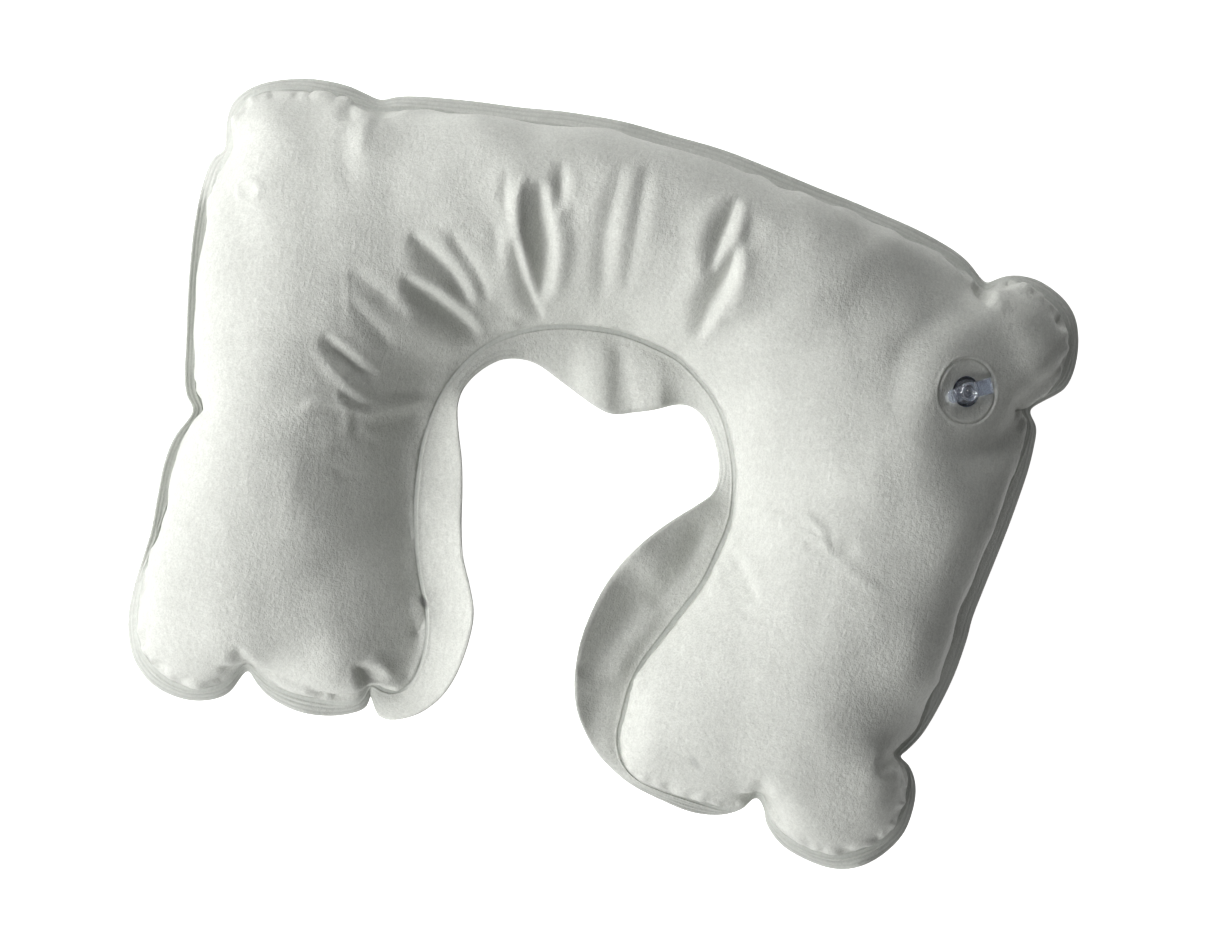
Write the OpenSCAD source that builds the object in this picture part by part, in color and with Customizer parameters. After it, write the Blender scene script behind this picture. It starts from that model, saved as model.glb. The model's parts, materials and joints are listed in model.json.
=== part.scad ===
// Inflatable U shaped neck pillow, flocked vinyl, with a sunken air valve.
// Origin: middle of the footprint, on the surface that the pillow lies on. +Z up, open side towards -Y.

/* [Pillow] */
// Width across the ears, edge to edge
overall_w = 414; // [380:2:450]
// Depth from the open side to the back, edge to edge
overall_d = 312; // [290:2:340]
// Height of each panel's crown above the weld
panel_h = 41; // [34:1:46]
// How much the underside is flattened where it rests
rest_flat = 1.4; // [1:0.1:2]
// Thickness of the flocked film
film_t = 0.5; // [0.4:0.1:0.8]
// Width of the welded band
weld_w = 3; // [2:0.5:4]

/* [Valve] */
// Position of the valve across the pillow
valve_x = 158; // [152:1:162]
// Position of the valve from front to back
valve_y = 72; // [66:1:78]
// Radius of the valve's base disc
flange_r = 15; // [14:0.5:16]
// Radius of the hole in the film
hole_r = 7.2; // [7:0.1:7.6]
// Outer radius of the stem
stem_r = 4.9; // [4.5:0.1:5]
// Bore radius of the stem
bore_r = 3.2; // [3.1:0.1:3.4]
// Radius of the plug's cap
cap_r = 5.5; // [5:0.1:5.8]
// Width of the tether strap and pull tab
strap_w = 7.4; // [6:0.2:8]
// Direction of the tether strap, from +X towards +Y
strap_turn = 28; // [0:1:90]

/* [Detail] */
// Stations around each panel
stations = 144; // [96:16:176]

/* [Hidden] */
$fn = 48;
FLOCK = "#c9cdc6";
CLEAR = "#9fa6b4";
weld_gap = 0.15;              // half the thickness of the fused band
sx = overall_w / 414;
sy = overall_d / 312;
seat_z = panel_h - rest_flat + film_t + weld_gap;  // height of the weld plane above the table

// Half outlines, from the middle of the neck opening, round the tip of an arm, to the middle of the back.
// Each row is [free edge x, y, weld x, y, crown line x, y, crown height share].
HALF = [
  [  0,   23,   0,   60,    0,  104, 1.00],
  [ 14,   25,  18,   59,   20,  103, 1.00],
  [ 27,   31,  34,   54,   40,  101, 1.00],
  [ 39,   35,  49,   45,   62,   97, 1.00],
  [ 51,   30,  61,   34,   83,   90, 1.00],
  [ 59,   19,  70,   20,  101,   78, 1.00],
  [ 61,    6,  74,    5,  114,   60, 1.00],
  [ 55,   -7,  75,  -10,  121,   40, 1.00],
  [ 43,  -22,  73,  -26,  124,   18, 1.00],
  [ 32,  -37,  67,  -42,  124,   -4, 1.00],
  [ 24,  -54,  60,  -58,  121,  -26, 1.00],
  [ 20,  -72,  54,  -74,  118,  -46, 1.00],
  [ 20,  -90,  50,  -90,  116,  -62, 0.99],
  [ 24, -108,  48, -105,  115,  -74, 0.98],
  [ 33, -124,  50, -119,  114,  -82, 0.97],
  [ 47, -137,  58, -130,  113,  -87, 0.96],
  [ 66, -145,  72, -136,  113,  -90, 0.95],
  [ 88, -147,  90, -138,  113,  -91, 0.95],
  [106, -143, 106, -134,  114,  -91, 0.95],
  [120, -140, 120, -131,  115,  -91, 0.95],
  [132, -148, 134, -138,  116,  -90, 0.95],
  [149, -156, 150, -146,  117,  -89, 0.95],
  [167, -153, 165, -144,  117,  -87, 0.96],
  [181, -142, 175, -134,  118,  -83, 0.97],
  [187, -125, 178, -119,  118,  -77, 0.98],
  [186, -109, 176, -104,  119,  -70, 0.98],
  [183,  -95, 174,  -92,  120,  -61, 0.99],
  [187,  -76, 179,  -74,  121,  -48, 1.00],
  [190,  -50, 182,  -48,  123,  -27, 1.00],
  [192,  -22, 184,  -20,  125,   -5, 1.00],
  [195,    8, 187,    8,  125,   17, 1.00],
  [198,   38, 190,   36,  122,   38, 1.00],
  [199,   62, 190,   60,  116,   56, 1.00],
  [200,   78, 190,   76,  108,   70, 1.00],
  [206,   94, 196,   91,   98,   80, 1.00],
  [206,  112, 196,  108,   89,   86, 1.00],
  [198,  127, 188,  120,   80,   91, 1.00],
  [182,  135, 174,  126,   70,   95, 1.00],
  [163,  134, 158,  124,   60,   97, 1.00],
  [143,  136, 139,  128,   50,   99, 1.00],
  [115,  142, 113,  133,   40,  101, 1.00],
  [ 85,  148,  84,  139,   30,  102, 1.00],
  [ 50,  153,  50,  144,   20,  103, 1.00],
  [ 22,  155,  22,  146,   10,  104, 1.00],
  [  0,  156,   0,  147,    0,  104, 1.00]
];

nh = len(HALF) - 1;
function mirror_row(r) = [-r[0], r[1], -r[2], r[3], -r[4], r[5], r[6]];
// the closed loop: right half out and round to the back, then the left half returning to the neck
LOOP = concat([for (i = [0:nh]) HALF[i]], [for (i = [nh - 1:-1:1]) mirror_row(HALF[i])]);
nl = len(LOOP);
function wrap(i) = (i % nl + nl) % nl;
function cr(a, b, c, d, u) = 0.5 * (2 * b + (c - a) * u + (2 * a - 5 * b + 4 * c - d) * u * u + (3 * b - a - 3 * c + d) * u * u * u);
function row_at(f) = let (i = floor(f), u = f - i) cr(LOOP[wrap(i - 1)], LOOP[wrap(i)], LOOP[wrap(i + 1)], LOOP[wrap(i + 2)], u);
ROWS = [for (k = [0:stations - 1]) let (r = row_at(k * nl / stations)) [sx * r[0], sy * r[1], sx * r[2], sy * r[3], sx * r[4], sy * r[5], r[6]]];

// share of the way from the weld to the crown line, for each ring of the dome
RINGS = [0.05, 0.12, 0.21, 0.32, 0.46, 0.63, 0.84];
nr = len(RINGS);
function smooth(x) = let (u = max(0, min(1, x))) u * u * (3 - 2 * u);
function reach(r) = max(30, norm([r[2] - r[4], r[3] - r[5]]));
function arc_z(a, h, s) = let (R = (a * a + h * h) / (2 * h)) sqrt(max(0, R * R - a * a * (1 - s) * (1 - s))) - (R - h);
function dome_xy(r, s) = [r[2] + (r[4] - r[2]) * s, r[3] + (r[5] - r[3]) * s];
function arc_slope(a, h, s) = let (R = (a * a + h * h) / (2 * h), d = a * (1 - s)) d / sqrt(max(1, R * R - d * d));
function dome_z(r, s) = arc_z(min(reach(r), 78), panel_h * r[6], s);

// the valve's seat is a flat patch in the top panel
seat_tilt = 24;               // lean of the valve's axis from +Z
seat_turn = 8;                // direction of the lean, from +X towards +Y
seat_h = 28 * panel_h / 41;   // height of the patch's middle above the weld
function seat_n() = [sin(seat_tilt) * cos(seat_turn), sin(seat_tilt) * sin(seat_turn), cos(seat_tilt)];
function seat_plane(p) = let (n = seat_n()) seat_h - (n[0] * (p[0] - valve_x) + n[1] * (p[1] - valve_y)) / n[2];
function seat_share(p) = 1 - smooth((norm([p[0] - valve_x, p[1] - valve_y]) - 23) / 12);

module at_valve() translate([valve_x, valve_y, seat_z + weld_gap + film_t + seat_h]) rotate([0, 0, seat_turn]) rotate([0, seat_tilt, 0]) rotate([0, 0, strap_turn - seat_turn]) children();

// One film panel: its free margin, the welded edge and the dome. up = 1 for the top, -1 for the bottom.
// The wall is the film's thickness measured square to the surface.
function outer_z(r, s, up) = let (p = dome_xy(r, s), z = dome_z(r, s))
  up > 0 ? z + (seat_plane(p) - z) * seat_share(p) : min(z, panel_h - rest_flat);
function wall_v(r, s, up) = let (p = dome_xy(r, s), w = up > 0 ? seat_share(p) : 0, g = arc_slope(min(reach(r), 78), panel_h * r[6], s))
  film_t * ((1 - w) * sqrt(1 + g * g) + w / seat_n()[2]);
function inner_z(r, s, up) = max(0, outer_z(r, s, up) - wall_v(r, s, up) + film_t);

module panel(up) {
  n = stations;
  outer = concat(
    [for (r = ROWS) [r[0], r[1], up * (weld_gap + film_t)]],
    [for (r = ROWS) [r[2], r[3], up * (weld_gap + film_t)]],
    [for (s = RINGS) for (r = ROWS) let (p = dome_xy(r, s)) [p[0], p[1], up * (weld_gap + film_t + outer_z(r, s, up))]]);
  inner = concat(
    [for (r = ROWS) [r[0], r[1], up * weld_gap]],
    [for (r = ROWS) [r[2], r[3], up * weld_gap]],
    [for (s = RINGS) for (r = ROWS) let (p = dome_xy(r, s)) [p[0], p[1], up * (weld_gap + inner_z(r, s, up))]]);
  m = n * (nr + 2);
  top = concat(
    [for (k = [0:nr]) for (i = [0:n - 1]) each let (a = k * n + i, b = k * n + (i + 1) % n, c = b + n, d = a + n) [[a, b, c], [a, c, d]]],
    crown_faces(n, n * (nr + 1)));
  rim = [for (i = [0:n - 1]) each let (a = i, b = (i + 1) % n) [[a, a + m, b + m], [a, b + m, b]]];
  shell = concat(top, [for (f = top) [f[2] + m, f[1] + m, f[0] + m]], rim);
  // the lists above run anticlockwise seen from outside the top panel
  polyhedron(points = concat(outer, inner), faces = [for (f = shell) up > 0 ? [f[2], f[1], f[0]] : f], convexity = 8);
}

// The crown is closed by one strip per arm, from the tip to the middle of the back.
// Each strip joins the neck side's stations to the outer side's, always by the shorter rung.
TIP = round(stations * 17.5 / nl);
function crown_pt(i) = let (r = ROWS[(i + stations) % stations]) [r[4], r[5]];
function zip(a, b, i, j) =
  i >= len(a) - 1 && j >= len(b) - 1 ? [] :
  let (go_a = j >= len(b) - 1 || (i < len(a) - 1 && norm(crown_pt(a[i + 1]) - crown_pt(b[j])) < norm(crown_pt(a[i]) - crown_pt(b[j + 1]))))
  go_a ? concat([[a[i], b[j], a[i + 1]]], zip(a, b, i + 1, j)) : concat([[a[i], b[j], b[j + 1]]], zip(a, b, i, j + 1));
function crown_faces(n, base) = let (
    right = zip([for (i = [TIP - 1:-1:0]) i], [for (i = [TIP:1:n / 2]) i], 0, 0),
    left = zip([for (i = [n - TIP:-1:n / 2]) i], [for (i = [n - TIP + 1:1:n]) i % n], 0, 0))
  [for (f = concat(right, left)) [base + f[0], base + f[1], base + f[2]]];

// A flat ring about the valve's axis, from z0 to z1
module ring(r_out, r_in, z0, z1) difference() {
  translate([0, 0, z0]) cylinder(r = r_out, h = z1 - z0);
  translate([0, 0, z0 - 1]) cylinder(r = r_in, h = z1 - z0 + 2);
}
// A flat strip along X, w wide, with its far end rounded by corner radius c
module strip(x0, x1, w, z0, z1, c) translate([0, 0, z0]) linear_extrude(height = z1 - z0) union() {
  s = sign(x1 - x0);
  translate([min(x0, x1 - s * c), -w / 2]) square([abs(x1 - s * c - x0), w]);
  translate([min(x1, x1 - s * c), -w / 2 + c]) square([c, w - 2 * c]);
  for (e = [-1, 1]) translate([x1 - s * c, e * (w / 2 - c)]) circle(r = c, $fn = 48);
}

// Heights in the valve are measured from the film's outer face, along the valve's axis
base_t = 0.9;                 // base disc
seal_t = 0.03;                // left between the film and the base disc for the weld
skirt_d = 12;                 // depth of the sunken well
mouth_z = 1.4;                // the stem's mouth
leg_t = 0.75;                 // each leg of the tether strap
fold_x = 12.2;                // where the strap folds, and the plug's swing axis
fold_z = 1.25;
cap_z = mouth_z + 0.05;
tip_z = -2.8;                 // tip of the stopper

module top_panel() color(FLOCK) difference() {
  translate([0, 0, seat_z]) panel(1);
  at_valve() translate([0, 0, -6]) cylinder(r = hole_r, h = 12);
}
module bottom_panel() color(FLOCK) translate([0, 0, seat_z]) panel(-1);

// The fused band that joins the two films, just outside the chamber
module perimeter_weld() color(FLOCK) translate([0, 0, seat_z - weld_gap]) linear_extrude(height = 2 * weld_gap) difference() {
  polygon([for (r = ROWS) let (w = [r[2], r[3]], d = [r[0], r[1]] - w) w + d * weld_w / norm(d)]);
  polygon([for (r = ROWS) [r[2], r[3]]]);
}

module valve_flange() color(CLEAR) at_valve() ring(flange_r, hole_r - 0.7, -film_t - base_t, -film_t - seal_t);
// The thin well under the film that lets the stem sink
module valve_skirt() color(CLEAR) at_valve() {
  difference() {
    translate([0, 0, -skirt_d - 0.6]) cylinder(r = hole_r - 0.1, h = skirt_d + 0.6 - film_t - base_t);
    translate([0, 0, -skirt_d]) cylinder(r = hole_r - 0.7, h = skirt_d);
    translate([0, 0, -skirt_d - 2]) cylinder(r = stem_r + 0.35, h = 4);
  }
}
module valve_stem() color(CLEAR) at_valve() difference() {
  union() {
    translate([0, 0, -skirt_d - 1.5]) cylinder(r = stem_r, h = skirt_d + 1.5 + mouth_z);
    translate([0, 0, mouth_z - 2]) cylinder(r = stem_r + 0.8, h = 2);
  }
  translate([0, 0, -skirt_d - 3]) cylinder(r = bore_r, h = skirt_d + 6);
}
// The ring in the stem's inner end that the check flap closes against
module flap_seat() color(CLEAR) at_valve() ring(bore_r - 0.02, bore_r - 1, -skirt_d - 1.5, -skirt_d - 0.3);
module check_flap() color(CLEAR) at_valve() translate([0, 0, -skirt_d - 2.2]) linear_extrude(height = 0.5) union() {
  circle(r = stem_r - 0.6, $fn = 48);
  translate([-stem_r - 0.1, -1.3]) square([3, 2.6]);
}
// The plug is hollow: a cap disc with a recess, over a tapered stopper
module plug_cap() color(CLEAR) at_valve() ring(cap_r, bore_r - 1.15, cap_z, cap_z + 0.9);
module stopper_pin() color(CLEAR) at_valve() difference() {
  rotate_extrude($fn = 64) polygon([
    [0, tip_z], [bore_r - 0.95, tip_z], [bore_r - 0.75, tip_z + 0.3], [bore_r - 0.1, 0.6],
    [bore_r - 0.1, cap_z], [0, cap_z]]);
  translate([0, 0, tip_z + 0.8]) cylinder(r = bore_r - 1.15, h = 8);
}
module pull_tab() color(CLEAR) at_valve() {
  difference() {
    strip(-3, -10.6, strap_w - 0.4, cap_z + 0.1, cap_z + 0.8, 2.4);
    translate([0, 0, 0]) cylinder(r = cap_r, h = 6);
  }
  translate([-8.4, -2.4, cap_z + 0.8]) cube([0.8, 4.8, 0.5]);
}
module tether_upper() color(CLEAR) at_valve() difference() {
  strip(3, fold_x - 0.2, strap_w, cap_z + 0.05, cap_z + 0.05 + leg_t, 0.6);
  translate([0, 0, 0]) cylinder(r = cap_r, h = 6);
}
module tether_lower() color(CLEAR) at_valve() difference() {
  strip(3, fold_x - 0.2, strap_w, 0.3, 0.3 + leg_t, 0.6);
  translate([0, 0, -1]) cylinder(r = stem_r + 0.8, h = 4);
}

top_panel();
bottom_panel();
perimeter_weld();
valve_flange();
valve_skirt();
valve_stem();
flap_seat();
check_flap();
plug_cap();
stopper_pin();
pull_tab();
tether_upper();
tether_lower();
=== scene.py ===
"""An inflatable U shaped neck pillow: two flocked films welded at the edge, a neck flap and a sunken air valve.

The films are inflated by a small cloth simulation (distance constraints, bending and pressure, in numpy), then the folds,
puckers and imprints of use are formed on the finer mesh, and the welded margin and neck flap are built on the same edge.
Lengths in the modelling functions are in millimetres in the weld plane's frame; objects are made in metres in the row frame.
"""
import math
import time

import bmesh
import bpy
import numpy as np
from mathutils import Matrix, Vector
from mathutils.geometry import delaunay_2d_cdt
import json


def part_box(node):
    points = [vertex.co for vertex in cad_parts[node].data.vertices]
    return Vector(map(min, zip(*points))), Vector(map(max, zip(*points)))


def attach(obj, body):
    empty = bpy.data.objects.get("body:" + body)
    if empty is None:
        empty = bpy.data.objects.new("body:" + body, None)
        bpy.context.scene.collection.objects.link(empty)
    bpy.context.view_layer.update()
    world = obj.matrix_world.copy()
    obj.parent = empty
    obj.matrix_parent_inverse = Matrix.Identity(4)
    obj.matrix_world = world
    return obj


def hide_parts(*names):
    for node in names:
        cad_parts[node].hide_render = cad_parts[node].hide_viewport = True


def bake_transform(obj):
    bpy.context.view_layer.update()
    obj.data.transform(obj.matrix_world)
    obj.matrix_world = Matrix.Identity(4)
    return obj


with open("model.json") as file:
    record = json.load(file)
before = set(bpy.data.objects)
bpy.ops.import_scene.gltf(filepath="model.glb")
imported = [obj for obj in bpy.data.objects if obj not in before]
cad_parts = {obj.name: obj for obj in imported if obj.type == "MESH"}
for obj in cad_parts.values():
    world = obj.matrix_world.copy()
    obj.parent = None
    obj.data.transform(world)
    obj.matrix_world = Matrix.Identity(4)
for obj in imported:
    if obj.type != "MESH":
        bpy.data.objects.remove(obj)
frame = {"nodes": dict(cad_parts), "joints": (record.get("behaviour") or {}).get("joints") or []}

T0 = time.time()
MM = 0.001

# ---------------------------------------------------------------- the frame's own numbers
_lo, _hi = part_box("perimeter_weld")
SEAT = 0.5 * (_lo.z + _hi.z) * 1000          # height of the weld plane
JOINT = {j["name"]: j for j in frame["joints"]}
VZ = np.array(JOINT["valve_pop_up"]["axis"], float)
VY = np.array(JOINT["plug_swing"]["axis"], float)
VZ /= np.linalg.norm(VZ); VY /= np.linalg.norm(VY)
VX = np.cross(VY, VZ)
VR = np.stack([VX, VY, VZ], 1)               # valve frame: columns are its axes
FOLD = np.array([12.2, 0.0, 1.25])
VO = np.array(JOINT["plug_swing"]["pos_m"], float) * 1000 - VR @ FOLD   # valve's centre on the film, mm


def smooth(x):
    u = np.clip(x, 0, 1)
    return u * u * (3 - 2 * u)


# ---------------------------------------------------------------- outline
# Each row: edge of the chamber x, y and free edge of the margin x, y, clockwise from the middle of the neck.
ROWS = [
    (-11, 60.5, 1.5, 22.5), (1, 61, 13.5, 25.5), (13.5, 59.5, 23.5, 29.5), (27, 56.5, 32, 34), (38, 50.5, 39, 35),
    (48, 43, 46, 32), (56, 34, 51.5, 26), (62.5, 22.5, 56.5, 17.5), (67.5, 11, 59.5, 9), (70, -1, 59.5, -0.5),
    (71.5, -14.5, 53.5, -8.5), (69.5, -28.5, 42.5, -20), (66.5, -43.5, 32.5, -33), (60.5, -58, 24.5, -47.5), (54, -73.5, 19.5, -63),
    (48.5, -86.5, 17, -80.5), (46, -99.5, 17.5, -94.5), (46, -111.5, 20, -107), (46.5, -123, 25, -118), (51.5, -134, 34, -129),
    (60, -139.5, 43.5, -136), (70, -141, 56, -142), (82, -141.5, 71, -145.5), (94, -141.5, 86, -147.5), (103.5, -141.5, 99, -145.5),
    (110, -139.5, 107.5, -141), (113.5, -130, 114.5, -133), (119, -133.5, 120, -139), (123, -141, 122, -144), (131.5, -146.5, 130, -151),
    (143.5, -150, 141.5, -155), (156.5, -150, 155.5, -156.5), (167, -144.5, 168, -153), (176.5, -136.5, 178, -144), (181, -128, 184.5, -132.5),
    (182.5, -117, 186, -120), (181, -107.5, 184.5, -109.5), (176, -100.5, 179.5, -101.5), (170.5, -99, 174, -98.5), (173, -93, 176.5, -94.5),
    (177.5, -83.5, 181.5, -85.5), (181, -69, 185.5, -72.5), (182, -54.5, 189, -55), (183, -39, 190.5, -38), (183.5, -27.5, 190.5, -27.5),
    (185.5, -15.5, 192, -14.5), (187, 0.5, 194, 0.5), (189.5, 17, 196, 16.5), (191.5, 34.5, 197.5, 32.5), (193, 49, 198.5, 47.5),
    (193.5, 61.5, 198, 61.5), (192, 68, 196.5, 67), (187.5, 72.5, 192, 72.5), (192, 77.5, 196, 77.5), (197.5, 82.5, 200.5, 81.5),
    (201.5, 89.5, 205.5, 87), (202.5, 98.5, 207.5, 96), (201.5, 108, 206.5, 108), (197.5, 116.5, 202.5, 119), (191, 122.5, 196, 126),
    (183.5, 126, 187, 130.5), (175, 128.5, 178, 132.5), (167, 129, 168.5, 131.5), (162, 125.5, 162, 128), (158.5, 121.5, 158, 125),
    (153.5, 124, 153.5, 127.5), (145.5, 129, 147, 132.5), (136, 132, 138, 136.5), (123.5, 134, 125, 140), (108.5, 137.5, 109, 143),
    (88.5, 140, 89.5, 146), (69, 142, 69.5, 148.5), (44, 145.5, 44.5, 152), (21.5, 148.5, 22.5, 154.5), (-0.5, 149, 0.5, 155),
    (-24.5, 149, -24, 155.5), (-48, 147.5, -48.5, 153.5), (-71, 144, -72, 150), (-94.5, 141, -95.5, 147), (-115, 137.5, -116.5, 143.5),
    (-127.5, 135.5, -128.5, 140.5), (-135.5, 132.5, -136, 137), (-144, 133, -143.5, 138), (-154.5, 133, -154, 139.5), (-169, 132, -169.5, 138.5),
    (-181.5, 130, -183, 134.5), (-191.5, 126, -193, 129.5), (-198, 119.5, -200, 123), (-200, 112, -203, 116), (-199, 104, -202.5, 106.5),
    (-197, 97, -200.5, 96.5), (-199.5, 88, -205, 90.5), (-200.5, 72.5, -206.5, 74.5), (-199.5, 55.5, -205.5, 57.5), (-197, 39.5, -202.5, 38),
    (-193.5, 21, -199, 20), (-190.5, 5.5, -195.5, 4), (-187.5, -8.5, -192.5, -10), (-184.5, -17.5, -189, -19), (-180.5, -22.5, -184.5, -24),
    (-182, -28.5, -186, -30), (-184.5, -39, -190, -39.5), (-185.5, -53.5, -191.5, -53), (-185.5, -68, -190.5, -68.5), (-185.5, -82.5, -189.5, -82.5),
    (-186.5, -94.5, -190, -96), (-187, -107, -190.5, -109), (-186, -120, -190, -123), (-183.5, -131, -187, -134), (-178.5, -139, -181.5, -144),
    (-171, -145, -173, -151.5), (-162.5, -148.5, -163.5, -155), (-152.5, -149.5, -152, -155.5), (-144, -146.5, -142, -152.5), (-137.5, -142, -135.5, -147.5),
    (-134, -135.5, -132.5, -140.5), (-130.5, -131.5, -129.5, -135), (-124, -135.5, -123.5, -140.5), (-115, -139, -114.5, -145.5), (-103.5, -140, -101, -148),
    (-91.5, -139.5, -88.5, -146.5), (-80.5, -138, -78, -142.5), (-75, -134, -72, -138), (-72.5, -127, -71.5, -131.5), (-67.5, -129, -66.5, -140),
    (-60.5, -128, -59, -141), (-54.5, -121.5, -47, -134.5), (-53, -109.5, -38, -122), (-54, -97.5, -34, -105.5), (-57.5, -86.5, -34, -85.5),
    (-62.5, -76.5, -39.5, -71.5), (-67.5, -64.5, -46, -59), (-72, -50.5, -50.5, -44), (-75, -38.5, -54, -29), (-77, -25.5, -57.5, -16.5),
    (-78, -13, -61.5, -6), (-77, 1, -64.5, 2.5), (-75, 12.5, -66, 10), (-70, 25.5, -64.5, 18.5), (-62.5, 37, -58.5, 28),
    (-53, 46, -49.5, 35), (-40.5, 53, -36, 36.5), (-26, 58, -19, 30)]
NR = len(ROWS)
ROWS = np.array(ROWS, float)

# How far outside its inflated place each row of the edge lies when the pillow is flat: row, dx, dy.
FLAT = [(0, 0, 0), (16, 0, -2), (20, 0, -9), (24, 5, -18), (26, 6, -26), (29, 8, -17), (32, 14, -14), (35, 22, -8), (38, 36, 0), (42, 38, 0), (47, 38, 0),
        (51, 34, 2), (52, 37, 4), (55, 22, 8), (58, 15, 14), (61, 12, 20), (64, 10, 30), (67, 8, 32), (72, 3, 38), (75, 0, 39),
        (79, -5, 36), (81, -9, 32), (84, -12, 20), (87, -17, 12), (90, -29, 6), (94, -36, 3), (99, -42, 0), (103, -37, 0),
        (107, -24, -6), (111, -13, -14), (113, -10, -17), (116, -6, -27), (120, -2, -19), (123, 0, -24), (125, 0, -14), (128, 0, -2), (132, 0, 0), (143, 0, 0)]

# True width of the margin, from the chamber's edge to the free edge, where it is wider than it looks from above: row, mm
WIDE = [(0, 40), (1, 38.5), (4, 17), (8, 9.2), (10, 20), (12, 37.5), (14, 37.5), (17, 28), (19, 20), (21, 15), (23, 9), (25, 9),
        (26, 8), (36, 8.5), (39, 10.5), (51, 10.5), (58, 8), (64, 7.2), (80, 7.0), (86, 8), (100, 9), (112, 8.5), (122, 9), (123, 9), (124, 12), (126, 21), (128, 31), (130, 33), (132, 29), (134, 27), (136, 22), (138, 12.5), (139, 11), (140, 12), (141, 19), (142, 31), (143, 40)]
# Lift of the free edge over the weld plane, +1 up or -1 down, where it is wider than it looks: row, sign
RISE = [(0, 0), (8.5, 0), (11, 0.22), (13, 0.28), (16, 0.25), (18.5, 0.10), (20, 0), (143, 0)]
LIFT = [(0, -1), (8, -0.6), (10, 0.35), (12, 0.58), (15, 0.62), (18, 0.45), (21, -0.5), (24, -1), (118, -1), (123, -1), (124.4, 0.6), (128, 0.45), (134, 0.45), (137, 0.3), (139, -0.4), (143, -1)]


def catmull(P, f):
    """A closed curve through the rows of P at parameters f."""
    n = len(P); i = np.floor(f).astype(int); u = (f - i)[:, None]
    a, b, c, d = P[(i - 1) % n], P[i % n], P[(i + 1) % n], P[(i + 2) % n]
    return 0.5 * (2 * b + (c - a) * u + (2 * a - 5 * b + 4 * c - d) * u * u + (3 * b - a - 3 * c + d) * u ** 3)


def table(rows, f):
    r = np.array(rows, float)
    return np.stack([np.interp(f % NR, r[:, 0], r[:, k]) for k in range(1, r.shape[1])], 1)


def even(step):
    """Parameters evenly spaced along the chamber's edge."""
    f = np.linspace(0, NR, 12 * NR, endpoint=False)
    p = catmull(ROWS, f)[:, :2]
    d = np.linalg.norm(np.roll(p, -1, 0) - p, axis=1)
    s = np.r_[0, np.cumsum(d)]
    n = int(round(s[-1] / step))
    return np.interp(np.arange(n) * s[-1] / n, s, np.r_[f, NR])


def blur_closed(a, k):
    for _ in range(k):
        a = 0.25 * np.roll(a, 1, 0) + 0.5 * a + 0.25 * np.roll(a, -1, 0)
    return a


def inside(poly, pts):
    x, y = pts[:, 0], pts[:, 1]
    r = np.zeros(len(pts), bool)
    x0, y0 = poly[:, 0], poly[:, 1]
    x1, y1 = np.roll(x0, -1), np.roll(y0, -1)
    for a, b, c, d in zip(x0, y0, x1, y1):
        if b == d:
            continue
        hit = ((b > y) != (d > y)) & (x < (c - a) * (y - b) / (d - b) + a)
        r ^= hit
    return r


# ---------------------------------------------------------------- cloth
def planform(step):
    """Triangles that fill the chamber's edge. Returns points, triangles, the edge's parameters and the count on the edge."""
    f = even(step)
    C = catmull(ROWS, f)[:, :2]
    lo, hi = C.min(0), C.max(0)
    gy = np.arange(lo[1], hi[1], step * 0.866)
    pts = []
    rng = np.random.default_rng(7)
    for k, y in enumerate(gy):
        xs = np.arange(lo[0] + (k % 2) * step / 2, hi[0], step)
        pts.append(np.stack([xs, np.full_like(xs, y)], 1))
    G = np.concatenate(pts)
    G = G + rng.uniform(-0.12, 0.12, G.shape) * step
    G = G[inside(C, G)]
    d2 = np.full(len(G), 1e9)
    for c in C:
        d2 = np.minimum(d2, ((G - c) ** 2).sum(1))
    G = G[d2 > (0.72 * step) ** 2]
    P = np.concatenate([C, G])
    n = len(C)
    edges = [(i, (i + 1) % n) for i in range(n)]
    v, e, t, _, _, _ = delaunay_2d_cdt([Vector(p) for p in P], edges, [], 1, 1e-5)
    assert len(v) == len(P)
    t = np.array([x for x in t if len(x) == 3], int)
    return P, t, f, n


def edge_list(t):
    e = np.sort(np.concatenate([t[:, [0, 1]], t[:, [1, 2]], t[:, [2, 0]]]), 1)
    return np.unique(e, axis=0)


def colours(pairs, n):
    """Splits constraint pairs into groups that share no point."""
    used = [0] * n
    out = []
    for k, (a, b) in enumerate(pairs.tolist()):
        m = used[a] | used[b]
        c = 0
        while m >> c & 1:
            c += 1
        used[a] |= 1 << c; used[b] |= 1 << c
        while len(out) <= c:
            out.append([])
        out[c].append(k)
    return [np.array(g) for g in out]


def laplace(pairs, n, fixed, value, source=0.0, iters=400):
    """Solves the graph Laplace equation by conjugate gradients, with value held on the fixed points."""
    deg = np.bincount(pairs.ravel(), minlength=n).astype(float)
    a, b = pairs[:, 0], pairs[:, 1]
    free = ~fixed

    def mul(x):
        y = deg[:, None] * x
        for k in range(x.shape[1]):
            y[:, k] -= np.bincount(a, x[b, k], n) + np.bincount(b, x[a, k], n)
        y[fixed] = 0
        return y
    x = value.copy()
    r = -mul(x); r[free] += source; r[fixed] = 0
    p = r.copy(); rs = (r * r).sum()
    for _ in range(iters):
        q = mul(p)
        al = rs / max((p * q).sum(), 1e-30)
        x += al * p; r -= al * q
        r2 = (r * r).sum()
        if r2 < 1e-10:
            break
        p = r + (r2 / rs) * p; rs = r2
    return x


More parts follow.
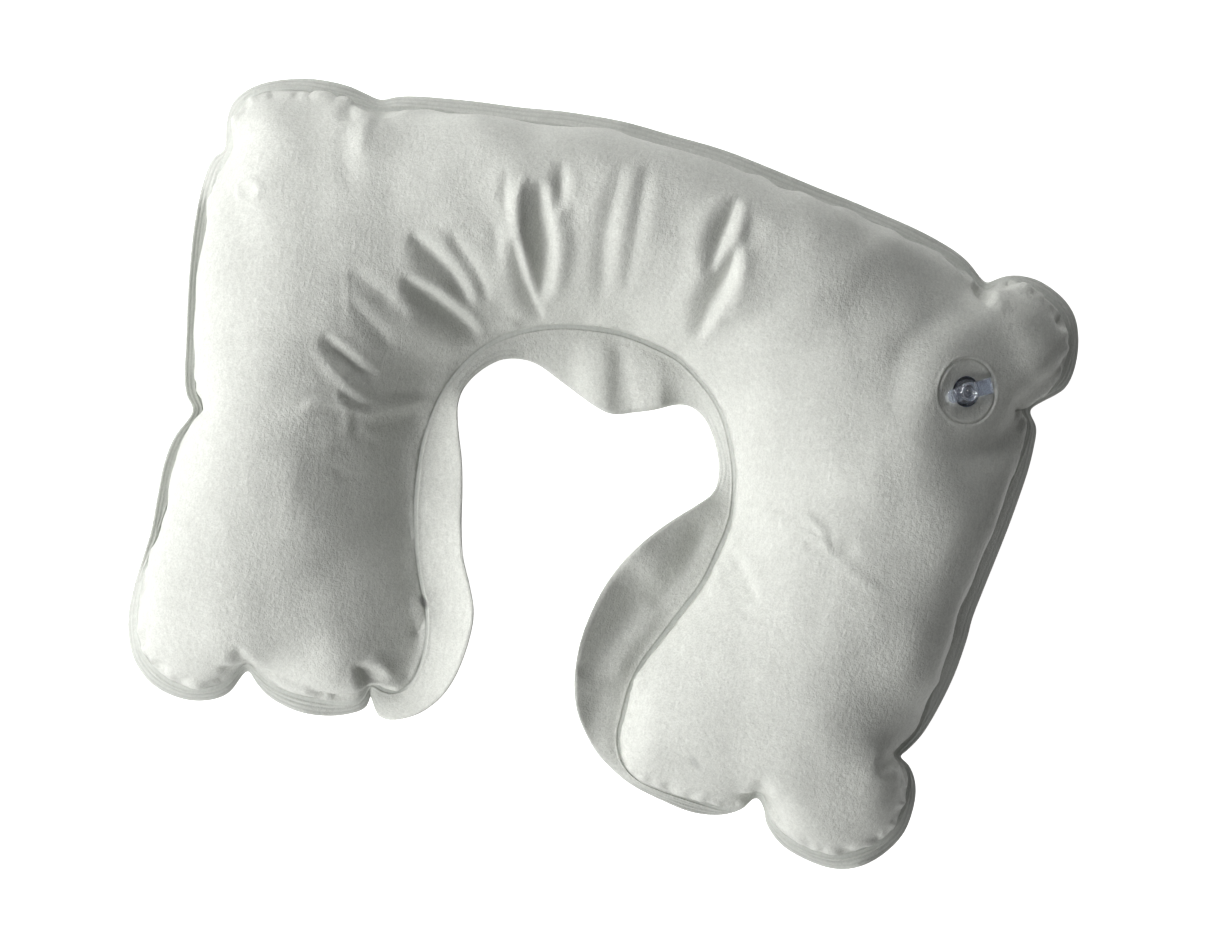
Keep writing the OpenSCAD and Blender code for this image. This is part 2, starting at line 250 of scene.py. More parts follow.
def relax(X, t, L0, groups, pairs, B0, bgroups, bpairs, w, steps, push, soft, damp=0.965):
    """Position based dynamics: X moves until the film is taut under pressure."""
    n = len(X)
    V = np.zeros_like(X)
    G = [(pairs[g, 0], pairs[g, 1], L0[g], (w[pairs[g, 0]] + w[pairs[g, 1]]) + 1e-9) for g in groups]
    H = [(bpairs[g, 0], bpairs[g, 1], B0[g], (w[bpairs[g, 0]] + w[bpairs[g, 1]]) + soft) for g in bgroups]
    wi = w[:, None]
    for s in range(steps):
        q = push(s)
        a, b, c = X[t[:, 0]], X[t[:, 1]], X[t[:, 2]]
        N = np.cross(b - a, c - a) * q
        F = np.stack([np.bincount(t[:, 0], N[:, k], n) + np.bincount(t[:, 1], N[:, k], n) + np.bincount(t[:, 2], N[:, k], n) for k in range(3)], 1)
        V = (V + F * wi) * damp
        V *= wi
        old = X
        X = X + V
        for GG in (G, H):
            for i, j, l0, ww in GG:
                d = X[i] - X[j]
                L = np.sqrt((d * d).sum(1)) + 1e-9
                k = ((L - l0) / (ww * L))[:, None] * d
                X[i] -= k * wi[i]
                X[j] += k * wi[j]
        V = X - old
    return X


def refine(X, t, nb):
    """Each triangle into four. The first nb points are the edge, in order, and stay first: edge points alternate old, new."""
    e = edge_list(t)
    n = len(X)
    idx = {}
    mids = 0.5 * (X[e[:, 0]] + X[e[:, 1]])
    for k, (a, b) in enumerate(e.tolist()):
        idx[(a, b)] = n + k
    Y = np.concatenate([X, mids])
    T = []
    for a, b, c in t.tolist():
        ab = idx[(a, b) if a < b else (b, a)]; bc = idx[(b, c) if b < c else (c, b)]; ca = idx[(c, a) if c < a else (a, c)]
        T += [(a, ab, ca), (ab, b, bc), (ca, bc, c), (ab, bc, ca)]
    T = np.array(T)
    order = []
    for i in range(nb):
        j = (i + 1) % nb
        order += [i, idx[(i, j) if i < j else (j, i)]]
    mark = np.ones(len(Y), bool); mark[order] = False
    full = np.concatenate([np.array(order), np.nonzero(mark)[0]])
    inv = np.empty(len(Y), int); inv[full] = np.arange(len(Y))
    return Y[full], inv[T], 2 * nb


def normals(X, t):
    n = len(X)
    a, b, c = X[t[:, 0]], X[t[:, 1]], X[t[:, 2]]
    N = np.cross(b - a, c - a)
    V = np.stack([np.bincount(t.ravel(), np.repeat(N[:, k], 3), n) for k in range(3)], 1)
    return V / (np.linalg.norm(V, axis=1, keepdims=True) + 1e-12)


def taubin(X, e, keep, rounds, lam=0.5, mu=-0.52):
    n = len(X)
    deg = np.bincount(e.ravel(), minlength=n).astype(float)[:, None]
    for r in range(rounds):
        for f in (lam, mu):
            S = np.stack([np.bincount(e[:, 0], X[e[:, 1], k], n) + np.bincount(e[:, 1], X[e[:, 0], k], n) for k in range(3)], 1) / deg
            D = (S - X) * f
            D[keep] = 0
            X = X + D
    return X


# ---------------------------------------------------------------- forms of use: folds, puckers, imprints
def along(P, xy):
    """Nearest place on the open polyline P for each point: share of its length, signed distance (left is +)."""
    P = np.asarray(P, float)
    seg = P[1:] - P[:-1]; L = np.linalg.norm(seg, axis=1); S = np.r_[0, np.cumsum(L)]
    best = np.full(len(xy), 1e9); u = np.zeros(len(xy)); sd = np.zeros(len(xy))
    for k in range(len(seg)):
        d = xy - P[k]
        h = np.clip((d @ seg[k]) / (L[k] ** 2), 0, 1)
        r = d - h[:, None] * seg[k]
        dist = np.linalg.norm(r, axis=1)
        cr = seg[k, 0] * d[:, 1] - seg[k, 1] * d[:, 0]
        m = dist < best
        best[m] = dist[m]; u[m] = ((S[k] + h * L[k]) / S[-1])[m]; sd[m] = (np.sign(cr) * dist)[m]
    return u, sd


def curve(P, n=24):
    """A smooth open curve through a few points."""
    P = np.asarray(P, float)
    if len(P) == 2:
        return np.linspace(P[0], P[1], 8)
    Q = np.vstack([2 * P[0] - P[1], P, 2 * P[-1] - P[-2]])
    out = []
    for i in range(len(P) - 1):
        a, b, c, d = Q[i:i + 4]
        for u in np.linspace(0, 1, 8, endpoint=False):
            out.append(0.5 * (2 * b + (c - a) * u + (2 * a - 5 * b + 4 * c - d) * u * u + (3 * b - a - 3 * c + d) * u ** 3))
    out.append(P[-1])
    return np.array(out)


def bead(xy, P, w, h, tail=0.3, head=0.3):
    """A ridge (h > 0) or groove (h < 0) along P, of half width w, fading over its ends."""
    u, s = along(curve(P), xy)
    end = smooth(u / max(head, 1e-3)) * smooth((1 - u) / max(tail, 1e-3))
    inner = (u > 0) & (u < 1)
    ww = w * (0.55 + 0.45 * end)
    g = np.exp(-(s / ww) ** 2)
    return h * g * end * np.where(inner, 1, 0)


# Folds that the film has taken on: line on the weld plane, width on its right and on its left side as it is followed, height; all in mm.
# The wide side of a valley is the slack one.
CREASES = [
    ([(-131.0, -137.0), (-131.6, -130.5), (-134.0, -123.5)], 3.0, 3.4, -2.2),
    # faint arcs pressed into the left arm
    ([(-113.5, -28.0), (-111.4, -21.5), (-105.6, -26.0)], 1.7, 1.7, -0.5),
    ([(-104.2, -24.3), (-101.5, -17.0), (-94.9, -20.9)], 1.7, 1.7, -0.5),
    ([(-111.8, -34.5), (-104.4, -36.4), (-96.1, -32.4)], 1.7, 1.7, -0.4),
    ([(-53.5, 115.4), (-50.8, 106.8), (-48.2, 98.2), (-45.0, 89.7), (-42.5, 80.1), (-41.4, 72.0), (-41.2, 64.2)], 6.2, 4.2, -6.6),
    ([(-60.1, 117.4), (-61.1, 110.6), (-60.6, 103.3), (-58.0, 94.7), (-54.4, 86.3), (-49.7, 77.3), (-44.9, 69.3), (-40.2, 62.1)], 2.6, 2.4, 1.9),
    ([(-58.3, 88.5), (-54.3, 80.2), (-51.3, 74.0), (-47.3, 67.5), (-42.7, 62.2), (-37.6, 57.0)], 4.2, 2.4, -3.6),
    ([(-45.8, 126.7), (-43.9, 117.9), (-43.0, 108.8), (-43.4, 101.3)], 3.8, 3, -1.9),
    ([(-68.2, 116.2), (-67.7, 107.1), (-64.3, 97.7)], 2.2, 2.2, -0.9),
    ([(-47.9, 109.9), (-42.9, 99.5), (-38.2, 86.8), (-36.0, 71.1)], 3, 5, 1.3),
    ([(-102.8, 58.3), (-94.6, 55.3), (-87.4, 53.0), (-80.1, 49.7), (-72.7, 46.5), (-64.1, 42.2)], 7.5, 2.8, -5.2),
    ([(-104.1, 78.3), (-96.3, 73.3), (-88.6, 68.8), (-82.0, 64.9), (-76.1, 59.9), (-71.3, 54.2)], 5.5, 3.6, -3.9),
    ([(-87.3, 83.6), (-80.2, 76.1), (-74.2, 70.7), (-67.9, 64.4), (-63.7, 57.1)], 3.4, 3, -1.9),
    ([(-69.4, 91.9), (-65.1, 84.6), (-61.6, 74.3)], 3, 3, -1),
    ([(-125.8, 54.8), (-115.3, 50.1), (-105.8, 46.0), (-96.0, 40.2)], 5, 3.4, -1.6),
    ([(-122.4, 41.8), (-114.5, 36.4), (-106.6, 31.0), (-99.5, 25.3)], 4.2, 3.2, -1.3),
    ([(-130.8, 23.8), (-122.0, 18.6), (-115.5, 15.2), (-109.8, 12.9), (-103.6, 12.2)], 5, 2.2, -2.9),
    ([(-131.6, 16.1), (-121.4, 9.0), (-110.4, 2.5), (-100.4, 0.0)], 2.6, 3.2, 1.4),
    ([(-132.7, -12.1), (-127.5, -7.0), (-119.8, -4.1), (-113.5, -5.2), (-109.2, -5.5), (-104.2, -5.2)], 2.2, 1.7, 1.1),
    ([(-109.4, -5.5), (-104.4, -5.2), (-97.7, -0.6), (-89.3, 3.0), (-76.8, 9.0)], 3.6, 2.4, 1.5),
    ([(-121.2, 1.1), (-117.0, -2.4), (-113.1, -5.1)], 1.5, 1.5, 0.9),
    ([(-113.3, -6.1), (-111.5, -11.2), (-109.9, -17.3)], 1.8, 1.8, 0.8),
    ([(-108.0, -10.3), (-105.7, -19.0)], 2.4, 2.4, -0.8),
    ([(-128.1, 55.1), (-125.2, 45.6), (-123.7, 40.0), (-119.6, 33.1)], 0.9, 0.9, 0.42),
    ([(-120.2, -24.2), (-115.3, -21.5), (-109.8, -21.5), (-107.9, -25.2)], 1.6, 1.6, 0.35),
    ([(-115.2, -36.4), (-110.4, -33.3), (-105.8, -34.9)], 1.6, 1.6, -0.35),
    ([(-153.4, -18.3), (-136.4, -12.1), (-129.6, -9.4)], 5, 4, -0.7),
    ([(35.3, 130.1), (34.1, 120.0), (32.7, 109.4), (31.5, 101.6), (30.6, 94.0)], 5, 3, -4),
    ([(40.1, 110.1), (39.5, 99.7), (37.6, 90.8), (35.4, 81.4), (34.1, 71.7), (33.1, 64.9)], 5.2, 3.4, -4.6),
    ([(42.9, 107.9), (47.7, 92.9), (47.8, 76.6)], 4, 9, 1.6),
    ([(43.3, 124.1), (45.8, 110.8)], 5, 5, -0.9),
    ([(-19.3, 132.2), (-18.8, 119.7), (-18.2, 108.2), (-17.6, 96.8), (-16.2, 86.0), (-13.4, 69.9)], 4.6, 4.6, -1.7),
    ([(-7.4, 136.6), (-6.9, 120.5), (-5.7, 106.8), (-4.5, 93.2), (-3.2, 77.2)], 4, 3.4, -1.3),
    ([(-42.7, 121.9), (-40.7, 107.1), (-37.6, 91.6)], 4, 4, -0.6),
    ([(68.8, -3.2), (76.4, -3.6), (83.8, -3.5), (90.6, -4.6), (96.4, -3.5)], 4.5, 2.4, 1),
    ([(91.2, -5.3), (94.7, -8.1), (96.5, -13.3)], 1.2, 1.2, 0.8),
    ([(96.7, -3.4), (98.4, -8.1), (97.9, -13.4)], 1.2, 1.3, 0.8),
    ([(98.1, -1.7), (103.8, -2.1), (109.2, -4.9), (114.0, -9.2)], 1.8, 1.8, 1),
    ([(99.6, -7.3), (106.3, -9.8), (111.6, -10.7), (116.1, -15.6)], 1.8, 1.8, 0.9),
    ([(109.2, -4.9), (112.3, -9.6), (117.1, -15.8)], 1.2, 1.2, 0.7),
    ([(104.7, -12.5), (109.1, -13.7)], 2, 2, -1.1),
    ([(115.7, -15.7), (127.1, -20.2), (134.4, -23.4), (146.4, -26.4)], 2.6, 2.4, 0.5),
    ([(117.8, -9.6), (127.2, -9.9)], 5, 4, -0.7),
    ([(72.9, -24.1), (79.0, -31.8), (84.6, -38.7), (89.4, -44.9)], 4.2, 2.8, -1.9),
    ([(70.1, -29.5), (76.2, -38.6), (82.2, -45.9), (89.3, -53.4)], 3, 3, -0.7),
    ([(67.3, -142.8), (71.9, -136.9)], 2, 2, -0.4),
    ([(-146.8, 131.9), (-146.2, 126.0), (-143.0, 121.1)], 3.4, 2.4, -1.9),
    ([(-134.6, 131.5), (-136.5, 124.5), (-136.3, 116.1), (-133.5, 105.5)], 3.2, 2.4, 0.7),
    ([(-145.0, 120.2), (-142.4, 106.9), (-134.4, 90.3)], 4.5, 4.5, -0.6),
    ([(153.8, 123.3), (156.9, 118.9), (159.3, 112.9)], 3.4, 2.6, -3),
    ([(160.3, 125.1), (163.2, 119.3), (164.3, 111.1)], 4.5, 4.5, 1.2),
    ([(-132.3, -137.4), (-136.5, -135.7), (-140.8, -135.8)], 2.6, 3.2, -2.4),
    ([(-70.2, -132.4), (-72.7, -126.4), (-76.7, -121.8), (-81.0, -118.2)], 5, 3.2, -4.6),
    ([(-81.1, -119.8), (-74.5, -116.2), (-68.5, -117.5), (-63.6, -121.9)], 2.6, 2.6, 1.4),
    ([(190.1, 72.7), (184.4, 73.1), (178.9, 72.6)], 3.4, 3, -1.8),
    ([(172.2, -96.2), (167.0, -99.9), (163.1, -106.5)], 3.4, 3.4, -2.2),
    ([(117.0, -131.9), (113.9, -127.0), (110.3, -122.3)], 3.8, 3, -2.4),
    ([(-183.9, -25.8), (-177.9, -23.3), (-170.7, -21.9)], 3.2, 3, -1.4)]


def crease_field(xy, folds):
    """Height of the folds at each point of the plane."""
    z = np.zeros(len(xy))
    for P, wr, wl, h in folds:
        C = curve(P)
        near = ((xy > C.min(0) - 30) & (xy < C.max(0) + 30)).all(1)
        u, s = along(C, xy[near])
        body = (np.clip(u, 0, 1) * (1 - np.clip(u, 0, 1)) * 4) ** 0.7
        taper = 0.45 + 0.55 * body
        w = np.where(s > 0, wl, wr) * taper
        # past the ends the fold dies out over its own width
        g = np.exp(-(np.abs(s) / w) ** 1.7)
        lift = 0.22 * np.exp(-((np.abs(s) - 2.1 * w) / (1.1 * w)) ** 2)
        z[near] += h * body * (g - lift)
    return z


def rest(P, t, M, pairs, tri_of):
    """Rest length of each pair from the metric of its triangles."""
    d = P[pairs[:, 0]] - P[pairs[:, 1]]
    m = 0.5 * (M[tri_of[:, 0]] + M[tri_of[:, 1]])
    return np.sqrt(m[:, 0] * d[:, 0] ** 2 + 2 * m[:, 1] * d[:, 0] * d[:, 1] + m[:, 2] * d[:, 1] ** 2)


def topology(t):
    """Edges and cross pairs, with the two triangles beside each (the same twice on the rim)."""
    T = len(t); nmax = t.max() + 1
    E = np.concatenate([t[:, [0, 1]], t[:, [1, 2]], t[:, [2, 0]]])
    O = np.concatenate([t[:, 2], t[:, 0], t[:, 1]])
    F = np.tile(np.arange(T), 3)
    key = np.sort(E, 1); key = key[:, 0] * nmax + key[:, 1]
    s = np.argsort(key, kind="stable"); key, O, F, E = key[s], O[s], F[s], np.sort(E, 1)[s]
    first = np.r_[True, key[1:] != key[:-1]]
    i = np.nonzero(first)[0]
    two = np.r_[~first[1:], False][i]
    j = np.where(two, i + 1, i); j = np.minimum(j, len(key) - 1)
    edges = E[i]; tri = np.stack([F[i], F[j]], 1)
    cross = np.stack([O[i][two], O[j][two]], 1); ctri = tri[two]
    return edges, tri, cross, ctri


# The traced outline is what's seen from this far over the weld plane, above this point, mm
EYE = 1200.0
BELOW_EYE = np.array([7.6, -6.0])


def seen(X):
    """Where each point shows on the weld plane."""
    return BELOW_EYE + (X[:, :2] - BELOW_EYE) / (1 - X[:, 2:3] / EYE)


def tuck(X, P, nb):
    """Where the dome bulges past the outline, the weld and all above it move in, so that the bulge ends on the outline."""
    C = P[:nb]
    A = seen(X)
    T_ = np.roll(C, -1, 0) - np.roll(C, 1, 0); T_ /= np.linalg.norm(T_, axis=1, keepdims=True)
    out = np.stack([-T_[:, 1], T_[:, 0]], 1)
    if ((C + out * 0.5 - C.mean(0)) * out).sum() < 0 and not inside(C, C[:1] - out[:1]).all():
        out = -out
    if inside(C, C + out * 0.8).mean() > 0.5:
        out = -out
    near = np.empty(len(X), int); dist = np.full(len(X), 1e9)
    for i in range(nb):
        q = ((A - C[i]) ** 2).sum(1)
        m = q < dist
        near[m] = i; dist[m] = q[m]
    s = ((A - C[near]) * out[near]).sum(1)
    s = np.where(np.sqrt(dist) < 14, s, -14) - 0.8 * smooth((-C[near, 0] - 135) / 25)
    over = np.zeros(nb)
    np.maximum.at(over, near, s)
    over = np.maximum(over, np.maximum(np.roll(over, 1), np.roll(over, -1)))
    over = blur_closed(over, 5)
    shift = blur_closed(out * over[:, None], 4)
    k = smooth(1 + np.minimum(s, 0) / 24)
    X = X.copy()
    X[:, :2] -= shift[near] * k[:, None]
    return X


# How steeply the film leaves its weld along the rows: less is steeper
FULL = [(0, 0.94), (6, 0.88), (22, 0.86), (27, 0.70), (34, 0.64), (60, 0.62), (80, 0.62), (112, 0.66), (120, 0.76), (123, 1.0), (125, 1.45), (128, 1.75), (137, 1.75), (140, 1.35), (143, 1.0)]

# Dents of the simulation that the film doesn't have: centre x, y and radius, mm
CALM = [(152, -74, 33), (154, 38, 30), (-106, 111, 30), (-185, 97, 19), (124, 108, 31), (-150, -95, 22)]


def calm(X, e, m, nb):
    """Fills a patch with the fairest surface through its surroundings."""
    m = m.copy(); m[:nb] = False
    n = len(X)
    touch = m[e].any(1)
    ring = np.zeros(n, bool); ring[e[touch].ravel()] = True; ring &= ~m
    rows = np.nonzero(m | ring)[0]; unk = np.nonzero(m)[0]
    col = np.full(n, -1); col[unk] = np.arange(len(unk))
    row = np.full(n, -1); row[rows] = np.arange(len(rows))
    A = np.zeros((len(rows), len(unk))); B = np.zeros((len(rows), 3))
    deg = np.bincount(e.ravel(), minlength=n)
    for a, b in np.concatenate([e, e[:, ::-1]]):
        if row[a] >= 0:
            if col[b] >= 0:
                A[row[a], col[b]] -= 1 / deg[a]
            else:
                B[row[a]] += X[b] / deg[a]
    for v in rows:
        if col[v] >= 0:
            A[row[v], col[v]] += 1
        else:
            B[row[v]] -= X[v]
    X = X.copy()
    X[unk] = np.linalg.lstsq(A, B, rcond=None)[0]
    return X


def inflate(step, steps):
    """The top film's shape over the weld plane."""
    P, t, f, nb = planform(step)
    n = len(P)
    a, b, c = P[t[:, 0]], P[t[:, 1]], P[t[:, 2]]
    flip = ((b - a)[:, 0] * (c - a)[:, 1] - (b - a)[:, 1] * (c - a)[:, 0]) < 0
    t[flip] = t[flip][:, ::-1]
    e, et, op, ot = topology(t)
    fixed = np.zeros(n, bool); fixed[:nb] = True
    D = np.zeros((n, 2)); D[:nb] = blur_closed(table(FLAT, f), 6)
    D = laplace(e, n, fixed, D)
    phi = np.maximum(laplace(e, n, fixed, np.zeros((n, 1)), source=1.0)[:, 0], 0)
    Q = P + D
    # the flat cut's metric on each triangle, with the slack along the arm taken out
    a, b, c = P[t[:, 0]], P[t[:, 1]], P[t[:, 2]]
    A = np.stack([b - a, c - a], 2); B = np.stack([Q[t[:, 1]] - Q[t[:, 0]], Q[t[:, 2]] - Q[t[:, 0]]], 2)
    J = B @ np.linalg.inv(A)
    U, S, Vt = np.linalg.svd(J)
    S[:, 0] = np.clip(1 + (S[:, 0] - 1) * 0.9, 1.0, 1.6)
    S[:, 1] = np.clip(S[:, 1], 0.96, 0.995)
    Mx = np.swapaxes(Vt, 1, 2) @ (S[:, :, None] ** 2 * Vt)
    M = np.stack([Mx[:, 0, 0], Mx[:, 0, 1], Mx[:, 1, 1]], 1)
    cen = (a + b + c) / 3
    z = np.sqrt(phi / phi.max()) * 42
    X = np.concatenate([P, z[:, None]], 1)
    w = np.ones(n); w[:nb] = 0
    g = colours(e, n); go = colours(op, n)
    q = 0.0009 / (step * step)
    X = relax(X, t, rest(P, t, M, e, et), g, e, rest(P, t, M, op, ot), go, op, w, steps, lambda s: q * (3.0 if s < steps * 0.45 else 1.0), 260.0)
    d = np.full(n, 1e9)
    for q in P[:nb]:
        d = np.minimum(d, ((P - q) ** 2).sum(1))
    d = np.sqrt(d)
    even_form = taubin(X, e, w == 0, 170, 0.6, -0.608)
    X = X + (even_form - X) * smooth((d - 1.5) / 9)[:, None]
    for cx, cy, r in CALM:
        X = calm(X, e, np.hypot(X[:, 0] - cx, X[:, 1] - cy) < r, nb)
    # tight film stands up more steeply from its weld, most of all along the outside
    power = np.zeros((n, 1)); power[:nb] = blur_closed(table(FULL, f), 6)
    power = laplace(e, n, fixed, power)[:, 0]
    # at the valve the film comes to the height of its seat without a hollow
    v = np.hypot(X[:, 0] - VO[0], X[:, 1] - VO[1]); i = v.argmin()
    need = np.log((VO[2] - SEAT) / 44) / np.log(min(X[i, 2], 43.5) / 44) - power[i]
    power += np.clip(need, -0.5, 1.2) * np.exp(-(v / 42) ** 2)
    X[:, 2] = 44 * (np.clip(X[:, 2], 0, None) / 44) ** power
    for _ in range(4):
        X = tuck(X, P, nb)
    Y, t, nb2 = refine(np.concatenate([X, P, d[:, None]], 1), t, nb)
    X, P, d = Y[:, :3], Y[:, 3:5], Y[:, 5]
    f2 = np.empty(nb2); f2[0::2] = f; nxt = np.roll(f, -1).copy(); nxt[-1] += NR; f2[1::2] = 0.5 * (f + nxt)
    f, nb = f2, nb2
    e = edge_list(t)
    keep = np.zeros(len(X), bool); keep[:nb] = True
    X = taubin(X, e, keep, 3)
    W = X[:nb, :2].copy(); W[1::2] = 0.5 * (W[0::2] + np.roll(W[0::2], -1, 0))
    X[:nb, :2] = blur_closed(W, 2); X[:nb, 2] = 0
    return X, t, f, nb, e, d


# ---------------------------------------------------------------- the films
T_FILM = 0.45
HOLE = 7.2


def to_valve(X):
    """Points of the weld plane's frame, in the valve's frame."""
    return (X + [0, 0, SEAT] - VO) @ VR


def from_valve(Q):
    return Q @ VR.T + VO - [0, 0, SEAT]


def settle_on_valve(X, d):
    """The film sinks gently to the height at which the valve is welded to it."""
    for _ in range(3):
        Q = to_valve(X)
        far = np.linalg.norm(Q, axis=1)
        off = Q[far < 13, 2].mean() if (far < 13).any() else Q[far.argmin(), 2]
        X = X - VZ * (off * np.exp(-(far / 46) ** 2) * smooth(d / 25))[:, None]
    return X


def scallops(X, d, nb, seed):
    """Fine gathers where the film leaves the weld: strongest on the feet and the lobes."""
    C = X[:nb, :2]
    s = np.r_[0, np.cumsum(np.linalg.norm(np.diff(C, axis=0), axis=1))]
    k = np.nonzero((d < 11) & (np.arange(len(X)) >= nb))[0]
    near = np.empty(len(k), int); best = np.full(len(k), 1e9)
    for i in range(nb):
        q = ((X[k, :2] - C[i]) ** 2).sum(1)
        m = q < best
        near[m] = i; best[m] = q[m]
    rng = np.random.default_rng(seed)
    T_ = s[-1] + 1.6
    n = int(T_ / 2)
    raw = rng.normal(size=n)
    for _ in range(2):
        raw = 0.25 * np.roll(raw, 1) + 0.5 * raw + 0.25 * np.roll(raw, -1)
    slow = rng.normal(size=n)
    for _ in range(60):
        slow = 0.25 * np.roll(slow, 1) + 0.5 * slow + 0.25 * np.roll(slow, -1)
    raw /= raw.std(); slow /= slow.std()
    amp = 0.30 + 0.14 * slow
    x = s / T_ * n
    j = np.floor(x).astype(int) % n; u = x - np.floor(x)
    v = (raw[j] * (1 - u) + raw[(j + 1) % n] * u) * np.clip(amp[j], 0.08, 0.6)
    # more on the feet and lobes, less along the neck
    y = C[:, 1]; far = np.clip(np.abs(y + 5) / 140, 0, 1)
    v = blur_closed(v, 2) * (0.5 + 0.9 * far ** 2)
    wave = rng.normal(size=n)
    for _ in range(14):
        wave = 0.25 * np.roll(wave, 1) + 0.5 * wave + 0.25 * np.roll(wave, -1)
    wave /= wave.std()
    broad = blur_closed(wave[j] * (1 - u) + wave[(j + 1) % n] * u, 2)
    z = np.zeros(len(X))
    z[k] = broad[near] * (0.5 + 0.7 * far[near] ** 2) * smooth(d[k] / 3) * (1 - smooth((d[k] - 4) / 7))
    z[k] += v[near] * smooth(d[k] / 1.6) * np.exp(-(d[k] / 3.3) ** 2) * 1.35
    feet = smooth((-X[:, 1] - 105) / 20)
    return np.where(z < 0, z * (1 - 0.72 * feet), z * (1 - 0.35 * feet))


def sculpt(X, t, table_, d, nb, seed):
    N = normals(X, t)
    z = crease_field(X[:, :2], table_) * smooth((d - 1) / 6)
    if seed == 1:
        r = np.hypot(X[:, 0] + 180.0, X[:, 1] - 78.4)
        z += 0.85 * np.exp(-((r - 5.0) / 1.2) ** 2) - 0.9 * np.exp(-(r / 3.0) ** 2)
        z -= 0.35 * np.exp(-(np.hypot(X[:, 0] - 81.4, X[:, 1] + 122.7) / 2.6) ** 2)
    # slight unevenness of a film that has been folded away
    rng = np.random.default_rng(20 + seed)
    for _ in range(42):
        w = rng.normal(size=2); w /= np.linalg.norm(w)
        L = rng.uniform(16, 60)
        z += 0.0021 * L * np.sin(2 * np.pi * (X[:, :2] @ w) / L + rng.uniform(0, 6.28)) * smooth(d / 12)
    z += scallops(X, d, nb, seed)
    return X + N * z[:, None]


def finer_round_valve(X, t, extra, reach=21.0, cuts=2):
    """Splits the triangles round the valve so that the hole and the weld ring are round."""
    nb = extra["nb"]
    bm = bmesh.new()
    lay = [bm.verts.layers.float.new(k) for k in ("d", "tag")]
    vs = [bm.verts.new(p) for p in X]
    for i, v in enumerate(vs):
        v[lay[0]] = extra["d"][i]; v[lay[1]] = i if i < nb else -1
    for a, b, c in t.tolist():
        bm.faces.new((vs[a], vs[b], vs[c]))
    for _ in range(cuts):
        P = np.array([v.co[:] for v in bm.verts]); Q = to_valve(P)
        near = (np.hypot(Q[:, 0], Q[:, 1]) < reach) & (np.abs(Q[:, 2]) < 12)
        bm.verts.index_update()
        edges = [e for e in bm.edges if near[e.verts[0].index] and near[e.verts[1].index]]
        bmesh.ops.subdivide_edges(bm, edges=edges, cuts=1, use_grid_fill=False)
        bmesh.ops.triangulate(bm, faces=[f for f in bm.faces if len(f.verts) > 3])
    bm.verts.index_update()
    P = np.array([v.co[:] for v in bm.verts])
    T = np.array([[v.index for v in f.verts] for f in bm.faces])
    tag = np.array([v[lay[1]] for v in bm.verts]); dd = np.array([v[lay[0]] for v in bm.verts])
    bm.free()
    order = np.argsort(np.where(tag >= 0, tag, 1e9), kind="stable")
    # new points split from edge points carry a mixed tag; only whole, first nb tags are the edge
    inv = np.empty(len(P), int); inv[order] = np.arange(len(P))
    return P[order], inv[T], dd[order]


